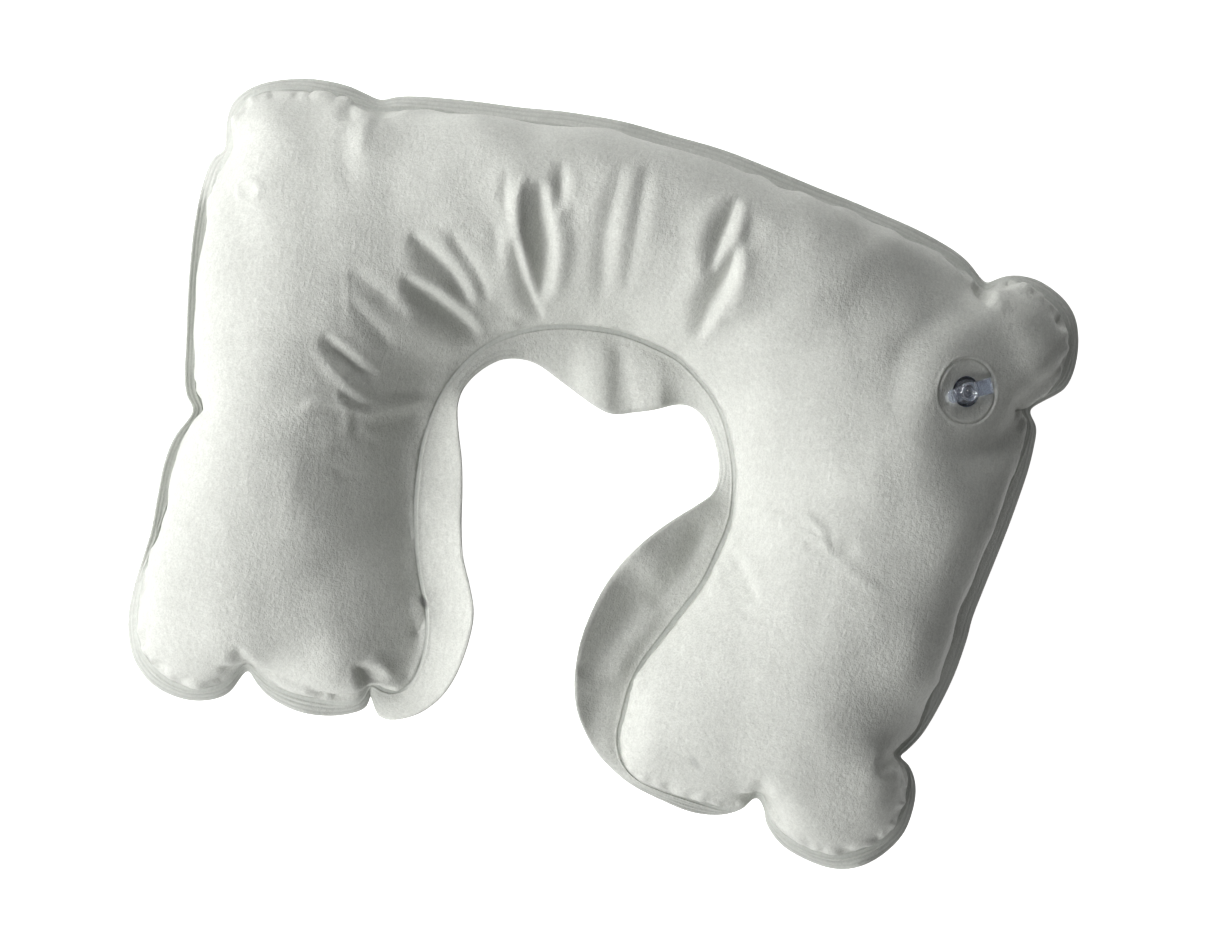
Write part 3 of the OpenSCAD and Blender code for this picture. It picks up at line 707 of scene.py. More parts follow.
def seat_film(X, t, nb):
    """Forms the film to the valve: flat over the base disc, dented by the weld ring, with a rolled lip at the hole."""
    Q = to_valve(X)
    r = np.hypot(Q[:, 0], Q[:, 1])
    near = (np.linalg.norm(Q, axis=1) < 60) & (np.arange(len(X)) >= nb)
    ang = np.arctan2(Q[:, 1], Q[:, 0])
    dish = 1.05 * smooth((r - 7.6) / 7.4) * (1 - smooth((r - 15) / 22))
    # room for the strap and the pull tab
    strip = np.exp(-(Q[:, 1] / 6.0) ** 4) * (1 - smooth((r - 13) / 5))
    dish *= 1 - strip
    prof = dish - 0.42 * np.exp(-((r - 14.9) / 0.55) ** 2) + 0.30 * np.exp(-((r - 16.0) / 0.8) ** 2) + 0.16 * np.exp(-((r - 13.7) / 0.7) ** 2)
    # the valve's levels are counted from the film's outer face
    prof -= T_FILM + 0.35 * np.exp(-((Q[:, 0] - 12.2) / 2.6) ** 2) * np.exp(-(Q[:, 1] / 5.2) ** 4)
    prof += 0.35 * (1 - 0.7 * strip) * np.exp(-((r - 8.1) / 0.7) ** 2) + 0.14 * np.sin(3 * ang + 0.6) * np.exp(-((r - 15) / 4) ** 2)
    k = smooth((r - 13.5) / 24)
    z = np.where(near, prof * (1 - smooth((r - 28) / 12)) + Q[:, 2] * k, Q[:, 2])
    Q[:, 2] = np.where(near, z, Q[:, 2])
    X = from_valve(Q)
    # the hole
    inner = near & (r < HOLE - 0.02)
    T = t[~inner[t].any(1)]
    used = np.zeros(len(X), bool); used[T.ravel()] = True
    used[:nb] = True
    new = np.cumsum(used) - 1
    X, T = X[used], new[T]
    E = np.sort(np.concatenate([T[:, [0, 1]], T[:, [1, 2]], T[:, [2, 0]]]), 1)
    u, c = np.unique(E, axis=0, return_counts=True)
    lone = u[c == 1]
    lone = lone[(lone >= nb).all(1)]
    loop = [int(lone[0, 0]), int(lone[0, 1])]
    nxt = {}
    for a, b in lone.tolist():
        nxt.setdefault(a, []).append(b); nxt.setdefault(b, []).append(a)
    while True:
        c = [x for x in nxt[loop[-1]] if x != loop[-2]][0]
        if c == loop[0]:
            break
        loop.append(c)
    loop = np.array(loop)
    Q = to_valve(X[loop]); a = np.unwrap(np.arctan2(Q[:, 1], Q[:, 0]))
    if a[-1] < a[0]:
        loop, a = loop[::-1], a[::-1]
    a2 = blur_closed(np.r_[a] - np.linspace(a[0], a[0] + 2 * np.pi, len(a), endpoint=False), 6) + np.linspace(a[0], a[0] + 2 * np.pi, len(a), endpoint=False)
    X[loop] = from_valve(np.stack([HOLE * np.cos(a2), HOLE * np.sin(a2), np.full(len(a2), -0.1 - T_FILM)], 1))
    # even out the ring next to the hole
    Q = to_valve(X); r = np.hypot(Q[:, 0], Q[:, 1])
    e = edge_list(T)
    keep = ~((r < 10.5) & (Q[:, 2] > -3) & (Q[:, 2] < 3)); keep[loop] = True
    S = taubin(X, e, keep, 6, 0.5, -0.1)
    X = S
    return X, T, loop


# Distance of the margin's columns from the chamber's edge, mm, and then shares of the rest
BAND = [0.22, 0.5, 0.95, 1.4, 1.85, 2.3, 2.55, 2.85, 3.15, 3.6]
REST = np.linspace(0, 1, 15)[1:]

# Soft waves of the wide neck flap and margin: line, half width, height, mm
WAVES = [
    ([(-8.5, 60), (-3, 41), (1.5, 22)], 4.2, 1.5),
    ([(-3, 60), (3.5, 41), (9, 24)], 5.0, -1.9),
    ([(20, 60), (24, 45), (28, 30)], 9, 1.0),
    ([(-26, 57), (-22, 47), (-18, 31)], 8, -0.9),
    ([(62, -12), (57, -28), (52, -44), (44, -60)], 5.5, -2.0),
    ([(52, -14), (46, -30), (38, -48)], 9.0, 1.6),
    ([(45, -48), (36, -62), (27, -80), (20, -100)], 7.5, -3.0),
    ([(52, -60), (43, -76), (36, -96)], 6.5, 1.6),
    ([(34, -100), (30, -118), (36, -132)], 6.0, -1.4),
    ([(-74, -40), (-62, -41), (-53, -37)], 9, 0.8),
    ([(-60, -82), (-47, -82), (-36, -80)], 11, -1.0)]


def margin(W, f, nb):
    """Middle surface of the margin and neck flap: one row of columns for each point of the chamber's edge."""
    E = catmull(ROWS, f)[:, 2:4]
    E = blur_closed(E, 2)
    wide = blur_closed(table(WIDE, f), 8)[:, 0]; lift = blur_closed(table(LIFT, f), 10)[:, 0]
    plan = np.linalg.norm(E - W, axis=1)
    shown = np.linalg.norm(E - catmull(ROWS, f)[:, :2], axis=1)
    ratio = np.clip(blur_closed(wide / np.maximum(shown, 1.5), 6), 1.002, 1.5)
    outer = smooth((13 - wide) / 3)
    true = outer * plan * ratio + (1 - outer) * (wide + np.maximum(plan - shown, 0))
    true = np.maximum(blur_closed(np.maximum(true, 4.2), 3), plan * 1.002)
    high = lift * np.sqrt(np.maximum(true ** 2 - plan ** 2, 0))
    high += plan * blur_closed(table(RISE, f), 8)[:, 0]
    # along the left side the margin turns up
    turned = smooth((-E[:, 0] - 135) / 25) * (1 - smooth((E[:, 1] - 62) / 22)) * smooth((E[:, 1] + 112) / 22)
    high += (0.42 * plan - high) * blur_closed(turned, 4)
    E = BELOW_EYE + (E - BELOW_EYE) * (1 - high / EYE)[:, None]
    s = np.r_[0, np.cumsum(np.linalg.norm(np.roll(W, -1, 0) - W, axis=1))[:-1]]
    total = s[-1] + np.linalg.norm(W[-1] - W[0])
    rng = np.random.default_rng(11)
    wob = np.zeros(nb)
    for k in list(range(14, 60, 3)):
        wob += rng.normal() * np.sin(2 * np.pi * k * s / total + rng.uniform(0, 6.28)) * 1.2 / k ** 0.5
    cols = []
    for c in BAND:
        cols.append(np.full(nb, c))
    for q in REST:
        cols.append(3.6 + (true - 3.6) * q)
    Dc = np.stack(cols, 1)
    v = Dc / true[:, None]
    G = np.zeros((nb, Dc.shape[1], 3))
    G[:, :, :2] = W[:, None] + (E - W)[:, None] * v[:, :, None]
    G[:, :, 2] = high[:, None] * v ** 1.5 + (wob[:, None] * 0.55) * smooth((Dc - 3) / 6) * np.where(true < 13, 1.0, 0.25)[:, None]
    flat = G.reshape(-1, 3)
    amp = smooth((Dc.ravel() - 3) / 9)
    for P, w, h in WAVES:
        flat[:, 2] += bead(flat[:, :2], P, w, h, 0.08, 0.3) * amp
    return G, Dc, true


def clear_of_domes(G, trees):
    """Keeps the margin out of the chambers where they bulge over it."""
    nb, K, _ = G.shape
    for tree, sign in trees:
        for i in range(nb):
            for j in range(K):
                p = G[i, j]
                hit = tree.ray_cast(Vector((p[0], p[1], 0.0)), Vector((0, 0, sign)))
                if hit[0] is not None:
                    lim = max(abs(hit[0].z) - 1.3, 0.0)
                    if sign * p[2] > lim:
                        G[i, j, 2] = sign * lim
    for _ in range(3):
        H = G[:, :, 2]
        G[:, :, 2] = 0.25 * np.roll(H, 1, 0) + 0.5 * H + 0.25 * np.roll(H, -1, 0)
    return G


def film(name, X, t, nb, G, Dc, side, loop=None):
    """A closed shell of film: the dome and its side of the margin, with thickness, in metres in the row frame."""
    n = len(X); K = G.shape[1]
    mid = np.concatenate([X, G.reshape(-1, 3)])
    idx = np.concatenate([np.arange(nb)[:, None], n + np.arange(nb * K).reshape(nb, K)], 1)
    i2 = (np.arange(nb) + 1) % nb
    quads = np.stack([idx[:, :-1], idx[:, 1:], idx[i2, 1:], idx[i2, :-1]], -1).reshape(-1, 4)
    # the dome's triangles face up (side +1) or down (side -1); the margin's quads follow
    tri = t if side > 0 else t[:, ::-1]
    q = quads[0]
    m0, m1, m2 = mid[q[0]], mid[q[1]], mid[q[3]]
    face_up = np.cross(m1 - m0, m2 - m0)[2] > 0
    if face_up != (side > 0):
        quads = quads[:, ::-1]
    qt = np.concatenate([quads[:, [0, 1, 2]], quads[:, [0, 2, 3]]])
    N = normals(mid, np.concatenate([tri, qt]))
    th = np.full(len(mid), T_FILM)
    band = np.zeros(len(mid))
    D = Dc.ravel()
    prof = T_FILM - 0.26 * (smooth(D / 0.3) - smooth((D - 2.35) / 0.3)) + 0.16 * np.exp(-((D - 3.1) / 0.35) ** 2) - 0.10 * np.exp(-((D - 4.2) / 0.4) ** 2)
    left = np.repeat(Dc[:, -1], K) - D
    narrow = smooth((17 - np.repeat(Dc[:, -1], K)) / 3) * smooth((D - 2.4) / 0.8)
    line = (np.exp(-((left - 2.2) / 0.42) ** 2) + np.exp(-((left - 4.5) / 0.42) ** 2)) * narrow
    prof = np.maximum(prof - 0.22 * line, 0.12)
    edge_soft = smooth(left / 0.5)
    th[n:] = prof * (0.45 + 0.55 * edge_soft)
    band[n:] = smooth(D / 0.2) * (1 - smooth((D - 2.4) / 0.4))
    band[:nb] = 0.5
    # painted shade: darker along the right side, the left side and the feet, where the dome shades the margin, on top
    # of the darker compressed flock and embossed lines of the whole narrow margin
    right = smooth((mid[n:, 0] - 95) / 25) * (1 - smooth((mid[n:, 1] - 95) / 15)) * smooth((mid[n:, 1] + 128) / 15)
    left_side = smooth((-mid[n:, 0] - 135) / 25)
    low = smooth((-mid[n:, 1] - 108) / 15)
    lip = np.zeros(len(mid)); lip[n:] = np.minimum(narrow * (0.34 + 0.42 * right + 0.25 * left_side * (1 - low) + 0.30 * low) + 0.75 * line, 1.3)
    out = mid + N * th[:, None]
    inn = mid + N * 0.015
    M = len(mid)
    V = np.concatenate([out, inn])
    faces = [tuple(f) for f in tri.tolist()] + [tuple(f) for f in quads.tolist()]
    faces += [tuple(M + x for x in f[::-1]) for f in tri.tolist()] + [tuple(M + x for x in f[::-1]) for f in quads.tolist()]
    # rim at the free edge, and at the valve's hole
    rims = [idx[:, -1]] + ([loop] if loop is not None else [])
    have = set()
    for f in faces[:len(tri) + len(quads)]:
        for k in range(len(f)):
            have.add((f[k], f[(k + 1) % len(f)]))
    for R in rims:
        R = [int(x) for x in R]
        for k in range(len(R)):
            u, v = R[k], R[(k + 1) % len(R)]
            if (u, v) in have:
                faces.append((v, u, M + u, M + v))
            else:
                faces.append((u, v, M + v, M + u))
    V = (V + [0, 0, SEAT]) * MM
    me = bpy.data.meshes.new(name)
    me.from_pydata(V.tolist(), [], faces)
    for key, val in (("weld", band), ("margin", lip)):
        at = me.attributes.new(key, "FLOAT", "POINT")
        at.data.foreach_set("value", np.concatenate([val, val]).astype(np.float32))
    me.polygons.foreach_set("use_smooth", np.ones(len(me.polygons), bool))
    me.update()
    ob = bpy.data.objects.new(name, me)
    bpy.context.scene.collection.objects.link(ob)
    return ob


# The lower film has folds of its own.
CREASES_LOW = [([(-x * 0.96, y) for x, y in P], wl, wr, h * 0.85) for P, wr, wl, h in CREASES[:30] if min(wr, wl) > 2]


def build_films():
    step, steps = ((3.2, 450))
    X, t, f, nb, e, d = inflate(step, steps)
    low = X.copy()
    up = settle_on_valve(X, d)
    up = sculpt(up, t, CREASES, d, nb, 1)
    low = sculpt(low, t, CREASES_LOW, d, nb, 2)
    cap = SEAT - T_FILM - 0.06
    z = low[:, 2]
    low[:, 2] = cap - 0.9 * np.logaddexp(0, (cap - z) / 0.9)
    low[:, 2] = np.where(z < 10, z, low[:, 2] + (z - low[:, 2]) * (1 - smooth((z - 10) / 8)))
    low[:, 2] *= -1
    W = up[:nb, :2].copy()
    G, Dc, true = margin(W, f, nb)
    from mathutils.bvhtree import BVHTree
    tu = BVHTree.FromPolygons([Vector(p) for p in up + [0, 0, 0.6]], t.tolist())
    tl = BVHTree.FromPolygons([Vector(p) for p in low - [0, 0, 0.6]], t.tolist())
    G = clear_of_domes(G, [(tu, 1.0), (tl, -1.0)])
    bottom = film("film_bottom", low, t, nb, G, Dc, -1)
    X2, t2, d2 = finer_round_valve(up, t, {"nb": nb, "d": d})
    X2, t2, loop = seat_film(X2, t2, nb)
    top = film("film_top", X2, t2, nb, G, Dc, 1, loop)
    return top, bottom


# ---------------------------------------------------------------- materials
def nodes_of(name):
    m = bpy.data.materials.new(name)
    m.use_nodes = True
    nt = m.node_tree
    b = nt.nodes["Principled BSDF"]
    return m, nt, b


def add(nt, kind, **kw):
    n = nt.nodes.new(kind)
    for k, v in kw.items():
        if k in n.inputs:
            n.inputs[k].default_value = v
        else:
            setattr(n, k, v)
    return n


def ramp(nt, src, stops):
    r = add(nt, "ShaderNodeValToRGB")
    while len(r.color_ramp.elements) < len(stops):
        r.color_ramp.elements.new(0.5)
    for el, (p, c) in zip(r.color_ramp.elements, stops):
        el.position = p; el.color = (c, c, c, 1) if isinstance(c, (int, float)) else (*c, 1)
    nt.links.new(src, r.inputs["Fac"])
    return r.outputs["Color"]


def spot(nt, coord, centre, turn, size, soft):
    """1 inside an oval on the film, 0 outside: centre and size in metres."""
    m = add(nt, "ShaderNodeMapping", vector_type="TEXTURE")
    m.inputs["Location"].default_value = centre
    m.inputs["Rotation"].default_value = (0, 0, turn)
    m.inputs["Scale"].default_value = size
    nt.links.new(coord, m.inputs["Vector"])
    ln = add(nt, "ShaderNodeVectorMath", operation="LENGTH")
    nt.links.new(m.outputs[0], ln.inputs[0])
    mr = add(nt, "ShaderNodeMapRange")
    mr.inputs["From Min"].default_value = 1 + soft; mr.inputs["From Max"].default_value = 1 - soft
    nt.links.new(ln.outputs["Value"], mr.inputs["Value"])
    return mr.outputs[0]


def mix(nt, fac, a, b, mode="MIX"):
    m = add(nt, "ShaderNodeMix", data_type="RGBA", blend_type=mode)
    for k, v in ((0, fac), (6, a), (7, b)):
        if isinstance(v, (int, float)):
            m.inputs[k].default_value = v
        elif isinstance(v, tuple):
            m.inputs[k].default_value = (*v, 1)
        else:
            nt.links.new(v, m.inputs[k])
    return m.outputs[2]


def math_(nt, op, a, b=None):
    m = add(nt, "ShaderNodeMath", operation=op)
    for k, v in ((0, a), (1, b)):
        if v is None:
            continue
        if isinstance(v, (int, float)):
            m.inputs[k].default_value = v
        else:
            nt.links.new(v, m.inputs[k])
    return m.outputs[0]


FLOCK = (0.620, 0.632, 0.592)


def flock_material():
    """Short nap flocked on vinyl: soft, matt, with a faint bloom at grazing angles and a fine fibre grain."""
    m, nt, b = nodes_of("flocked_film")
    co = add(nt, "ShaderNodeTexCoord").outputs["Object"]

    def noise(scale, detail=2.0, rough=0.55, dist=0.0, src=None):
        n = add(nt, "ShaderNodeTexNoise", Scale=scale, Detail=detail, Roughness=rough, Distortion=dist)
        nt.links.new(src or co, n.inputs["Vector"])
        return n.outputs["Fac"]
    cloud = noise(16, 3.0)
    patch = noise(70, 3.0, 0.6, 0.4)
    mottle = noise(420, 2.0, 0.6, 0.3)
    nap = noise(1150, 2.0, 0.6)
    fibre = noise(2600, 2.0, 0.7)
    stretch = add(nt, "ShaderNodeMapping"); stretch.inputs["Scale"].default_value = (1.0, 0.35, 1.0); stretch.inputs["Rotation"].default_value = (0, 0, 0.3)
    nt.links.new(co, stretch.inputs["Vector"])
    brushed = noise(700, 3.0, 0.6, 0.3, stretch.outputs[0])
    c = mix(nt, 1.0, FLOCK, ramp(nt, cloud, [(0.3, 0.955), (0.7, 1.03)]), "MULTIPLY")
    c = mix(nt, 1.0, c, ramp(nt, patch, [(0.3, 0.978), (0.72, 1.012)]), "MULTIPLY")
    c = mix(nt, 1.0, c, ramp(nt, brushed, [(0.3, 0.93), (0.7, 1.05)]), "MULTIPLY")
    c = mix(nt, 1.0, c, ramp(nt, mottle, [(0.3, 0.965), (0.7, 1.025)]), "MULTIPLY")
    c = mix(nt, 1.0, c, ramp(nt, nap, [(0.3, 0.90), (0.7, 1.07)]), "MULTIPLY")
    weld = add(nt, "ShaderNodeAttribute", attribute_name="weld").outputs["Fac"]
    c = mix(nt, math_(nt, "MULTIPLY", weld, 0.32), c, (0.40, 0.43, 0.40))
    # painted shade on the margin along the right side, the left side and the feet, together with the darker compressed
    # flock and embossed lines of the whole narrow margin
    pressed_and_shade = add(nt, "ShaderNodeAttribute", attribute_name="margin").outputs["Fac"]
    c = mix(nt, math_(nt, "MULTIPLY", pressed_and_shade, 0.5), c, (0.37, 0.385, 0.36))
    # a small dark oval on the neck flap, and a fainter grey one near the right foot, over a slight dent in the film
    s1 = spot(nt, co, (-0.0585, -0.0840, 0.041), -0.9, (0.0032, 0.0015, 0.03), 0.35)
    c = mix(nt, math_(nt, "MULTIPLY", s1, 0.72), c, (0.12, 0.12, 0.12))
    s2 = spot(nt, co, (0.0815, -0.1230, 0.060), -0.75, (0.0038, 0.0014, 0.05), 0.5)
    c = mix(nt, math_(nt, "MULTIPLY", s2, 0.45), c, (0.33, 0.34, 0.33))
    nt.links.new(c, b.inputs["Base Color"])
    rgh = ramp(nt, nap, [(0.0, 0.98), (1.0, 0.86)])
    nt.links.new(rgh, b.inputs["Roughness"])
    b.inputs["Specular IOR Level"].default_value = 0.22
    b.inputs["Sheen Weight"].default_value = 0.35
    b.inputs["Sheen Roughness"].default_value = 0.42
    b.inputs["Sheen Tint"].default_value = (0.95, 0.96, 0.92, 1)
    h = math_(nt, "ADD", math_(nt, "MULTIPLY", nap, 0.6), math_(nt, "MULTIPLY", fibre, 0.4))
    h = math_(nt, "ADD", h, math_(nt, "MULTIPLY", patch, 0.25))
    h = math_(nt, "ADD", h, math_(nt, "MULTIPLY", brushed, 0.8))
    h = math_(nt, "ADD", h, math_(nt, "MULTIPLY", mottle, 0.9))
    fade = math_(nt, "SUBTRACT", 1.0, math_(nt, "MULTIPLY", weld, 0.6))
    bp = add(nt, "ShaderNodeBump", Strength=0.55, Distance=0.00030)
    nt.links.new(h, bp.inputs["Height"]); nt.links.new(fade, bp.inputs["Strength"])
    nt.links.new(bp.outputs[0], b.inputs["Normal"])
    return m


def vinyl_material():
    """Clear soft vinyl, slightly blue, with flow marks and handling haze."""
    m, nt, b = nodes_of("clear_vinyl")
    co = add(nt, "ShaderNodeTexCoord").outputs["Object"]
    n = add(nt, "ShaderNodeTexNoise", Scale=260.0, Detail=3.0, Roughness=0.6)
    n2 = add(nt, "ShaderNodeTexNoise", Scale=1100.0, Detail=2.0, Roughness=0.6)
    for q in (n, n2):
        nt.links.new(co, q.inputs["Vector"])
    c = ramp(nt, n.outputs["Fac"], [(0.3, (0.60, 0.64, 0.72)), (0.7, (0.76, 0.80, 0.87))])
    nt.links.new(c, b.inputs["Base Color"])
    nt.links.new(ramp(nt, n2.outputs["Fac"], [(0.3, 0.04), (0.7, 0.11)]), b.inputs["Roughness"])
    b.inputs["IOR"].default_value = 1.53
    b.inputs["Transmission Weight"].default_value = 0.87
    b.inputs["Coat Weight"].default_value = 0.7
    b.inputs["Coat Roughness"].default_value = 0.05
    bp = add(nt, "ShaderNodeBump", Strength=0.35, Distance=0.0002)
    nt.links.new(n2.outputs["Fac"], bp.inputs["Height"])
    nt.links.new(bp.outputs[0], b.inputs["Normal"])
    return m


# ---------------------------------------------------------------- the valve's plug and strap
CAP_R, CAP_Z, STRAP_W = 4.4, 1.45, 7.2


def lathe(profile, n=64):
    """A closed ring solid from (radius, z) points."""
    P = np.array(profile, float); a = np.linspace(0, 2 * np.pi, n, endpoint=False)
    V = np.concatenate([np.stack([r * np.cos(a), r * np.sin(a), np.full(n, z)], 1) for r, z in P])
    F = []
    m = len(P)
    for i in range(m):
        j = (i + 1) % m
        for k in range(n):
            l = (k + 1) % n
            F.append((i * n + k, i * n + l, j * n + l, j * n + k))
    return V, F


def slab(outline, z0, z1):
    o = np.array(outline, float); n = len(o)
    V = np.concatenate([np.c_[o, np.full(n, z0)], np.c_[o, np.full(n, z1)]])
    F = [tuple(range(n))[::-1], tuple(range(n, 2 * n))] + [(k, (k + 1) % n, n + (k + 1) % n, n + k) for k in range(n)]
    return V, F


def round_box(x0, x1, y0, y1, r, n=10):
    out = []
    for cx, cy, a0 in ((x1 - r, y1 - r, 0), (x0 + r, y1 - r, 90), (x0 + r, y0 + r, 180), (x1 - r, y0 + r, 270)):
        for k in range(n + 1):
            a = math.radians(a0 + 90 * k / n)
            out.append((cx + r * math.cos(a), cy + r * math.sin(a)))
    return out


def moulded(name, parts, voxel, rounds):
    """Unites the parts and rounds every edge, as a moulded piece."""
    V = []; F = []
    for v, f in parts:
        o = len(V)
        V += v.tolist(); F += [tuple(o + x for x in q) for q in f]
    me = bpy.data.meshes.new(name + "_raw")
    me.from_pydata(V, [], F)
    bm = bmesh.new(); bm.from_mesh(me); bmesh.ops.recalc_face_normals(bm, faces=bm.faces); bm.to_mesh(me); bm.free()
    ob = bpy.data.objects.new(name, me); bpy.context.scene.collection.objects.link(ob)
    md = ob.modifiers.new("unite", "REMESH"); md.mode = "VOXEL"; md.voxel_size = voxel; md.adaptivity = 0
    dg = bpy.context.evaluated_depsgraph_get()
    out = bpy.data.meshes.new_from_object(ob.evaluated_get(dg))
    ob.modifiers.clear()
    n = len(out.vertices)
    X = np.empty(n * 3); out.vertices.foreach_get("co", X); X = X.reshape(-1, 3)
    e = np.empty(len(out.edges) * 2, int); out.edges.foreach_get("vertices", e); e = e.reshape(-1, 2)
    X = taubin(X, e, np.zeros(n, bool), rounds, 0.5, -0.51)
    out.vertices.foreach_set("co", ((X @ VR.T + VO) * MM).ravel())
    out.polygons.foreach_set("use_smooth", np.ones(len(out.polygons), bool))
    out.name = name
    ob.data = out
    bpy.data.meshes.remove(me)
    return ob


def build_plug():
    r, z = CAP_R, CAP_Z
    cap = lathe([(2.05, z), (r - 0.1, z), (r, z + 0.25), (r, z + 1.0), (r - 0.25, z + 1.25), (r - 0.75, z + 1.22), (r - 1.0, z + 0.95), (2.5, z + 0.85), (2.1, z + 0.95)])
    stop = lathe([(0.01, -2.8), (2.25, -2.8), (2.5, -2.5), (3.1, 0.6), (3.1, z + 0.3), (2.05, z + 0.3), (2.05, -1.9), (0.01, -1.9)])
    pip = lathe([(0.01, -2.2), (1.35, -2.2), (1.3, 1.6), (1.0, 2.0), (0.5, 1.85), (0.01, 1.8)])
    # the finger tab, with a raised edge and two grip ribs
    tab = slab(round_box(-11.0, -2.6, -3.1, 3.1, 2.3), z + 0.12, z + 0.82)
    ribs = [slab(round_box(x - 0.34, x + 0.34, -2.1, 2.1, 0.33, 4), z + 0.5, z + 1.32) for x in (-9.1, -7.3)]
    edge_o = round_box(-11.0, -3.4, -3.1, 3.1, 2.3); edge_i = round_box(-10.45, -3.4, -2.55, 2.55, 1.8)
    n = len(edge_o)
    V = np.array([(x, y, q) for q in (z + 0.4, z + 1.02) for x, y in edge_o + edge_i]); m = 2 * n
    F = []
    for k in range(n):
        l = (k + 1) % n
        F += [(k, l, m + l, m + k), (n + l, n + k, m + n + k, m + n + l), (m + k, m + l, m + n + l, m + n + k), (l, k, n + k, n + l)]
    return moulded("plug", [cap, stop, pip, tab, (V, F)] + ribs, 0.16, 5)


def build_strap():
    """The tether: a flat strip folded back on itself, from the stem's mouth out and back to the cap."""
    z_lo, z_up, xf = 0.68, CAP_Z + 0.43, 12.05
    pts = [(5.0, z_lo - 0.25), (6.2, z_lo), (8.5, z_lo - 0.08), (11.0, z_lo - 0.06), (xf + 0.25, z_lo + 0.1), (xf + 0.72, 0.5 * (z_lo + z_up)), (xf + 0.25, z_up - 0.02),
           (11.0, z_up + 0.10), (8.5, z_up + 0.16), (6.2, z_up + 0.05), (3.6, z_up)]
    P = np.array(pts); Q = np.vstack([2 * P[0] - P[1], P, 2 * P[-1] - P[-2]])
    C = []
    for i in range(len(P) - 1):
        a, b, c, d = Q[i:i + 4]
        for u in np.linspace(0, 1, 14, endpoint=False):
            C.append(0.5 * (2 * b + (c - a) * u + (2 * a - 5 * b + 4 * c - d) * u * u + (3 * b - a - 3 * c + d) * u ** 3))
    C.append(P[-1]); C = np.array(C)
    T = np.gradient(C, axis=0); T /= np.linalg.norm(T, axis=1, keepdims=True)
    N = np.stack([-T[:, 1], T[:, 0]], 1)
    s = np.r_[0, np.cumsum(np.linalg.norm(np.diff(C, axis=0), axis=1))]; s /= s[-1]
    sec = []
    for y in np.linspace(-1, 1, 29):
        sec.append((y, 1))
    for y in np.linspace(1, -1, 29):
        sec.append((y, -1))
    V = []
    for k in range(len(C)):
        near = abs(s[k] - 0.5) < 0.12
        w = STRAP_W / 2 * (1 - 0.04 * math.sin(9 * s[k]))
        for y, side in sec:
            e = max(1 - abs(y) ** 10, 0.0)
            t = 0.34 * (0.30 + 0.70 * e ** 0.5)
            # raised edge of the strip, and small buckles where it is folded
            t += 0.11 * math.exp(-((abs(y) - 0.86) / 0.07) ** 2) * (side > 0 and 1 or 0)
            wr = 0.11 * math.sin(7.5 * y + 2.0) * math.exp(-((s[k] - 0.5) / 0.09) ** 2)
            q = C[k] + N[k] * (side * t * -1 + wr)
            V.append((q[0], y * w * (1 - 0.012 * (side < 0)), q[1]))
    n = len(sec)
    F = []
    for k in range(len(C) - 1):
        for i in range(n):
            j = (i + 1) % n
            F.append((k * n + i, k * n + j, (k + 1) * n + j, (k + 1) * n + i))
    F.append(tuple(range(n))[::-1]); F.append(tuple((len(C) - 1) * n + i for i in range(n)))
    V = (np.array(V) @ VR.T + VO) * MM
    me = bpy.data.meshes.new("tether_strap"); me.from_pydata(V.tolist(), [], F)
    bm = bmesh.new(); bm.from_mesh(me); bmesh.ops.recalc_face_normals(bm, faces=bm.faces); bm.to_mesh(me); bm.free()
    me.polygons.foreach_set("use_smooth", np.ones(len(me.polygons), bool))
    ob = bpy.data.objects.new("tether_strap", me); bpy.context.scene.collection.objects.link(ob)
    return ob


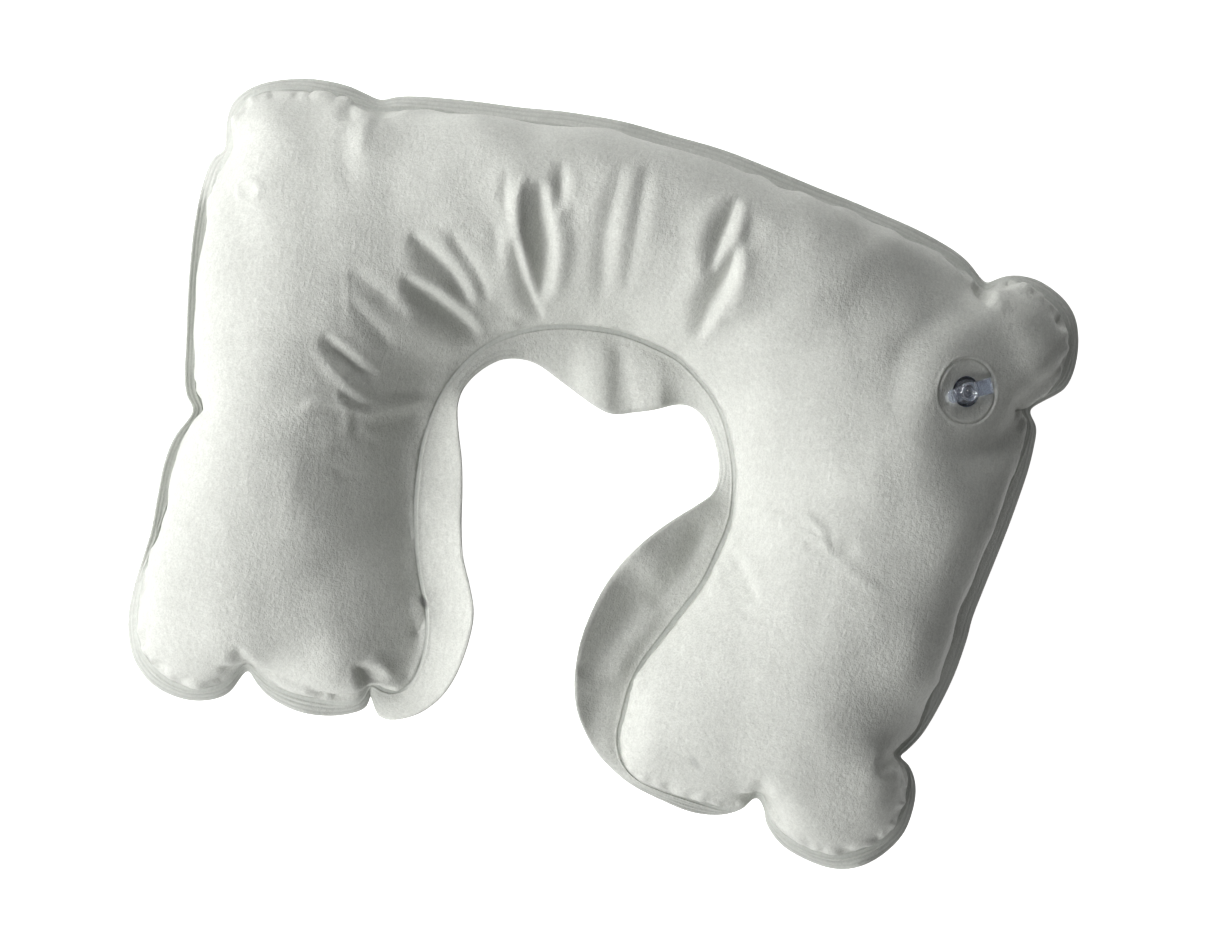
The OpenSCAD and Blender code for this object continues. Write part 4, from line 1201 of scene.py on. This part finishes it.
# ---------------------------------------------------------------- studio
def studio():
    sc = bpy.context.scene
    me = bpy.data.meshes.new("floor")
    me.from_pydata([(-3, -3, 0), (3, -3, 0), (3, 3, 0), (-3, 3, 0)], [], [(0, 1, 2, 3)])
    fl = bpy.data.objects.new("floor", me); sc.collection.objects.link(fl)
    m, nt, b = nodes_of("floor_paint")
    co = add(nt, "ShaderNodeTexCoord").outputs["Object"]
    n = add(nt, "ShaderNodeTexNoise", Scale=6.0, Detail=3.0); nt.links.new(co, n.inputs["Vector"])
    nt.links.new(ramp(nt, n.outputs["Fac"], [(0.3, 0.90), (0.7, 0.92)]), b.inputs["Base Color"])
    b.inputs["Roughness"].default_value = 0.9
    b.inputs["Emission Color"].default_value = (1, 1, 1, 1)
    b.inputs["Emission Strength"].default_value = FLOOR_GLOW
    me.materials.append(m)

    fl.visible_diffuse = False
    w = bpy.data.worlds.new("studio"); sc.world = w; w.use_nodes = True
    nt = w.node_tree; bg = nt.nodes["Background"]
    co = add(nt, "ShaderNodeTexCoord").outputs["Generated"]
    sep = add(nt, "ShaderNodeSeparateXYZ"); nt.links.new(co, sep.inputs[0])
    mr = add(nt, "ShaderNodeMapRange")
    mr.inputs["From Min"].default_value = -0.15; mr.inputs["From Max"].default_value = 0.8
    mr.inputs["To Min"].default_value = FILL[0]; mr.inputs["To Max"].default_value = FILL[1]
    nt.links.new(sep.outputs["Z"], mr.inputs["Value"])
    # light the pale floor throws back up
    up_ = add(nt, "ShaderNodeMapRange")
    up_.inputs["From Min"].default_value = -0.12; up_.inputs["From Max"].default_value = 0.0
    up_.inputs["To Min"].default_value = BOUNCE; up_.inputs["To Max"].default_value = 0.0
    nt.links.new(sep.outputs["Z"], up_.inputs["Value"])
    nt.links.new(math_(nt, "ADD", mr.outputs[0], up_.outputs[0]), bg.inputs[1])
    bg.inputs[0].default_value = (1, 1, 1, 1)

    right = np.array([math.cos(TURN), math.sin(TURN), 0]); up = np.array([-math.sin(TURN), math.cos(TURN), 0])
    for name, az, el, dist, size, power in LIGHTS:
        # azimuth is counted in the picture: 0 to the right, 90 up
        d = (right * math.cos(az) + up * math.sin(az)) * math.cos(el) + np.array([0, 0, math.sin(el)])
        li = bpy.data.lights.new(name, "AREA"); li.shape = "RECTANGLE"
        li.size, li.size_y = size; li.energy = power
        ob = bpy.data.objects.new(name, li); sc.collection.objects.link(ob)
        ob.location = Vector(d * dist) + Vector((0, 0, 0.04))
        ob.rotation_euler = (Vector((0, 0, 0.04)) - ob.location).to_track_quat("-Z", "Y").to_euler()

    # small bright panels that only gloss shows, for the glints on clear vinyl
    for name, az, el, size, power in GLINTS:
        d = (right * math.cos(az) + up * math.sin(az)) * math.cos(el) + np.array([0, 0, math.sin(el)])
        li = bpy.data.lights.new(name, "AREA"); li.shape = "RECTANGLE"
        li.size, li.size_y = size; li.energy = power
        ob = bpy.data.objects.new(name, li); sc.collection.objects.link(ob)
        ob.location = Vector(d * 1.3) + Vector((0, 0, 0.04))
        ob.rotation_euler = (Vector((0, 0, 0.04)) - ob.location).to_track_quat("-Z", "Y").to_euler()
        ob.visible_diffuse = False

    cam = bpy.data.cameras.new("camera"); ob = bpy.data.objects.new("camera", cam)
    sc.collection.objects.link(ob); sc.camera = ob
    ob.location = (0.0076, -0.0060, SEAT * MM + 1.2)
    ob.rotation_euler = (0, 0, TURN)
    cam.sensor_width = 36; cam.lens = 77.0
    cam.clip_start = 0.05; cam.clip_end = 20
    sc.view_settings.view_transform = "Standard"
    sc.view_settings.look = "None"
    sc.view_settings.exposure = 0.0
    sc.view_settings.gamma = 1.0


TURN = math.radians(14.5)
FLOOR_GLOW = 0.9
FILL = (0.02, 0.09)
BOUNCE = 0.85
R = math.radians
LIGHTS = [("key", R(181), R(28.5), 1.15, (2.2, 0.6), 18.2),
          ("back", R(114), R(27), 1.5, (1.0, 0.6), 11.3),
          ("front", R(238), R(27), 1.5, (1.0, 0.6), 10.3)]


GLINTS = [("glint_a", R(20), R(62), (0.35, 0.25), 16.0), ("glint_b", R(200), R(66), (0.3, 0.5), 14.0), ("glint_c", R(75), R(52), (0.3, 0.2), 8.0)]


def main():
    top, bottom = build_films()
    fm, vm = flock_material(), vinyl_material()
    for ob in (top, bottom):
        ob.data.materials.append(fm)
        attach(ob, "pillow")
    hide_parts("top_panel", "perimeter_weld")
    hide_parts("bottom_panel")
    for name, ob in frame["nodes"].items():
        if name in ("top_panel", "bottom_panel", "perimeter_weld"):
            continue
        ob.data.materials.clear(); ob.data.materials.append(vm)
    plug = build_plug(); plug.data.materials.append(vm)
    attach(plug, "plug"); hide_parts("plug_cap", "stopper_pin", "pull_tab")
    strap = build_strap(); strap.data.materials.append(vm)
    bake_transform(strap)
    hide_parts("tether_upper", "tether_lower")
    studio()
    bpy.context.view_layer.update()
    print("built in %.1f s" % (time.time() - T0))


main()
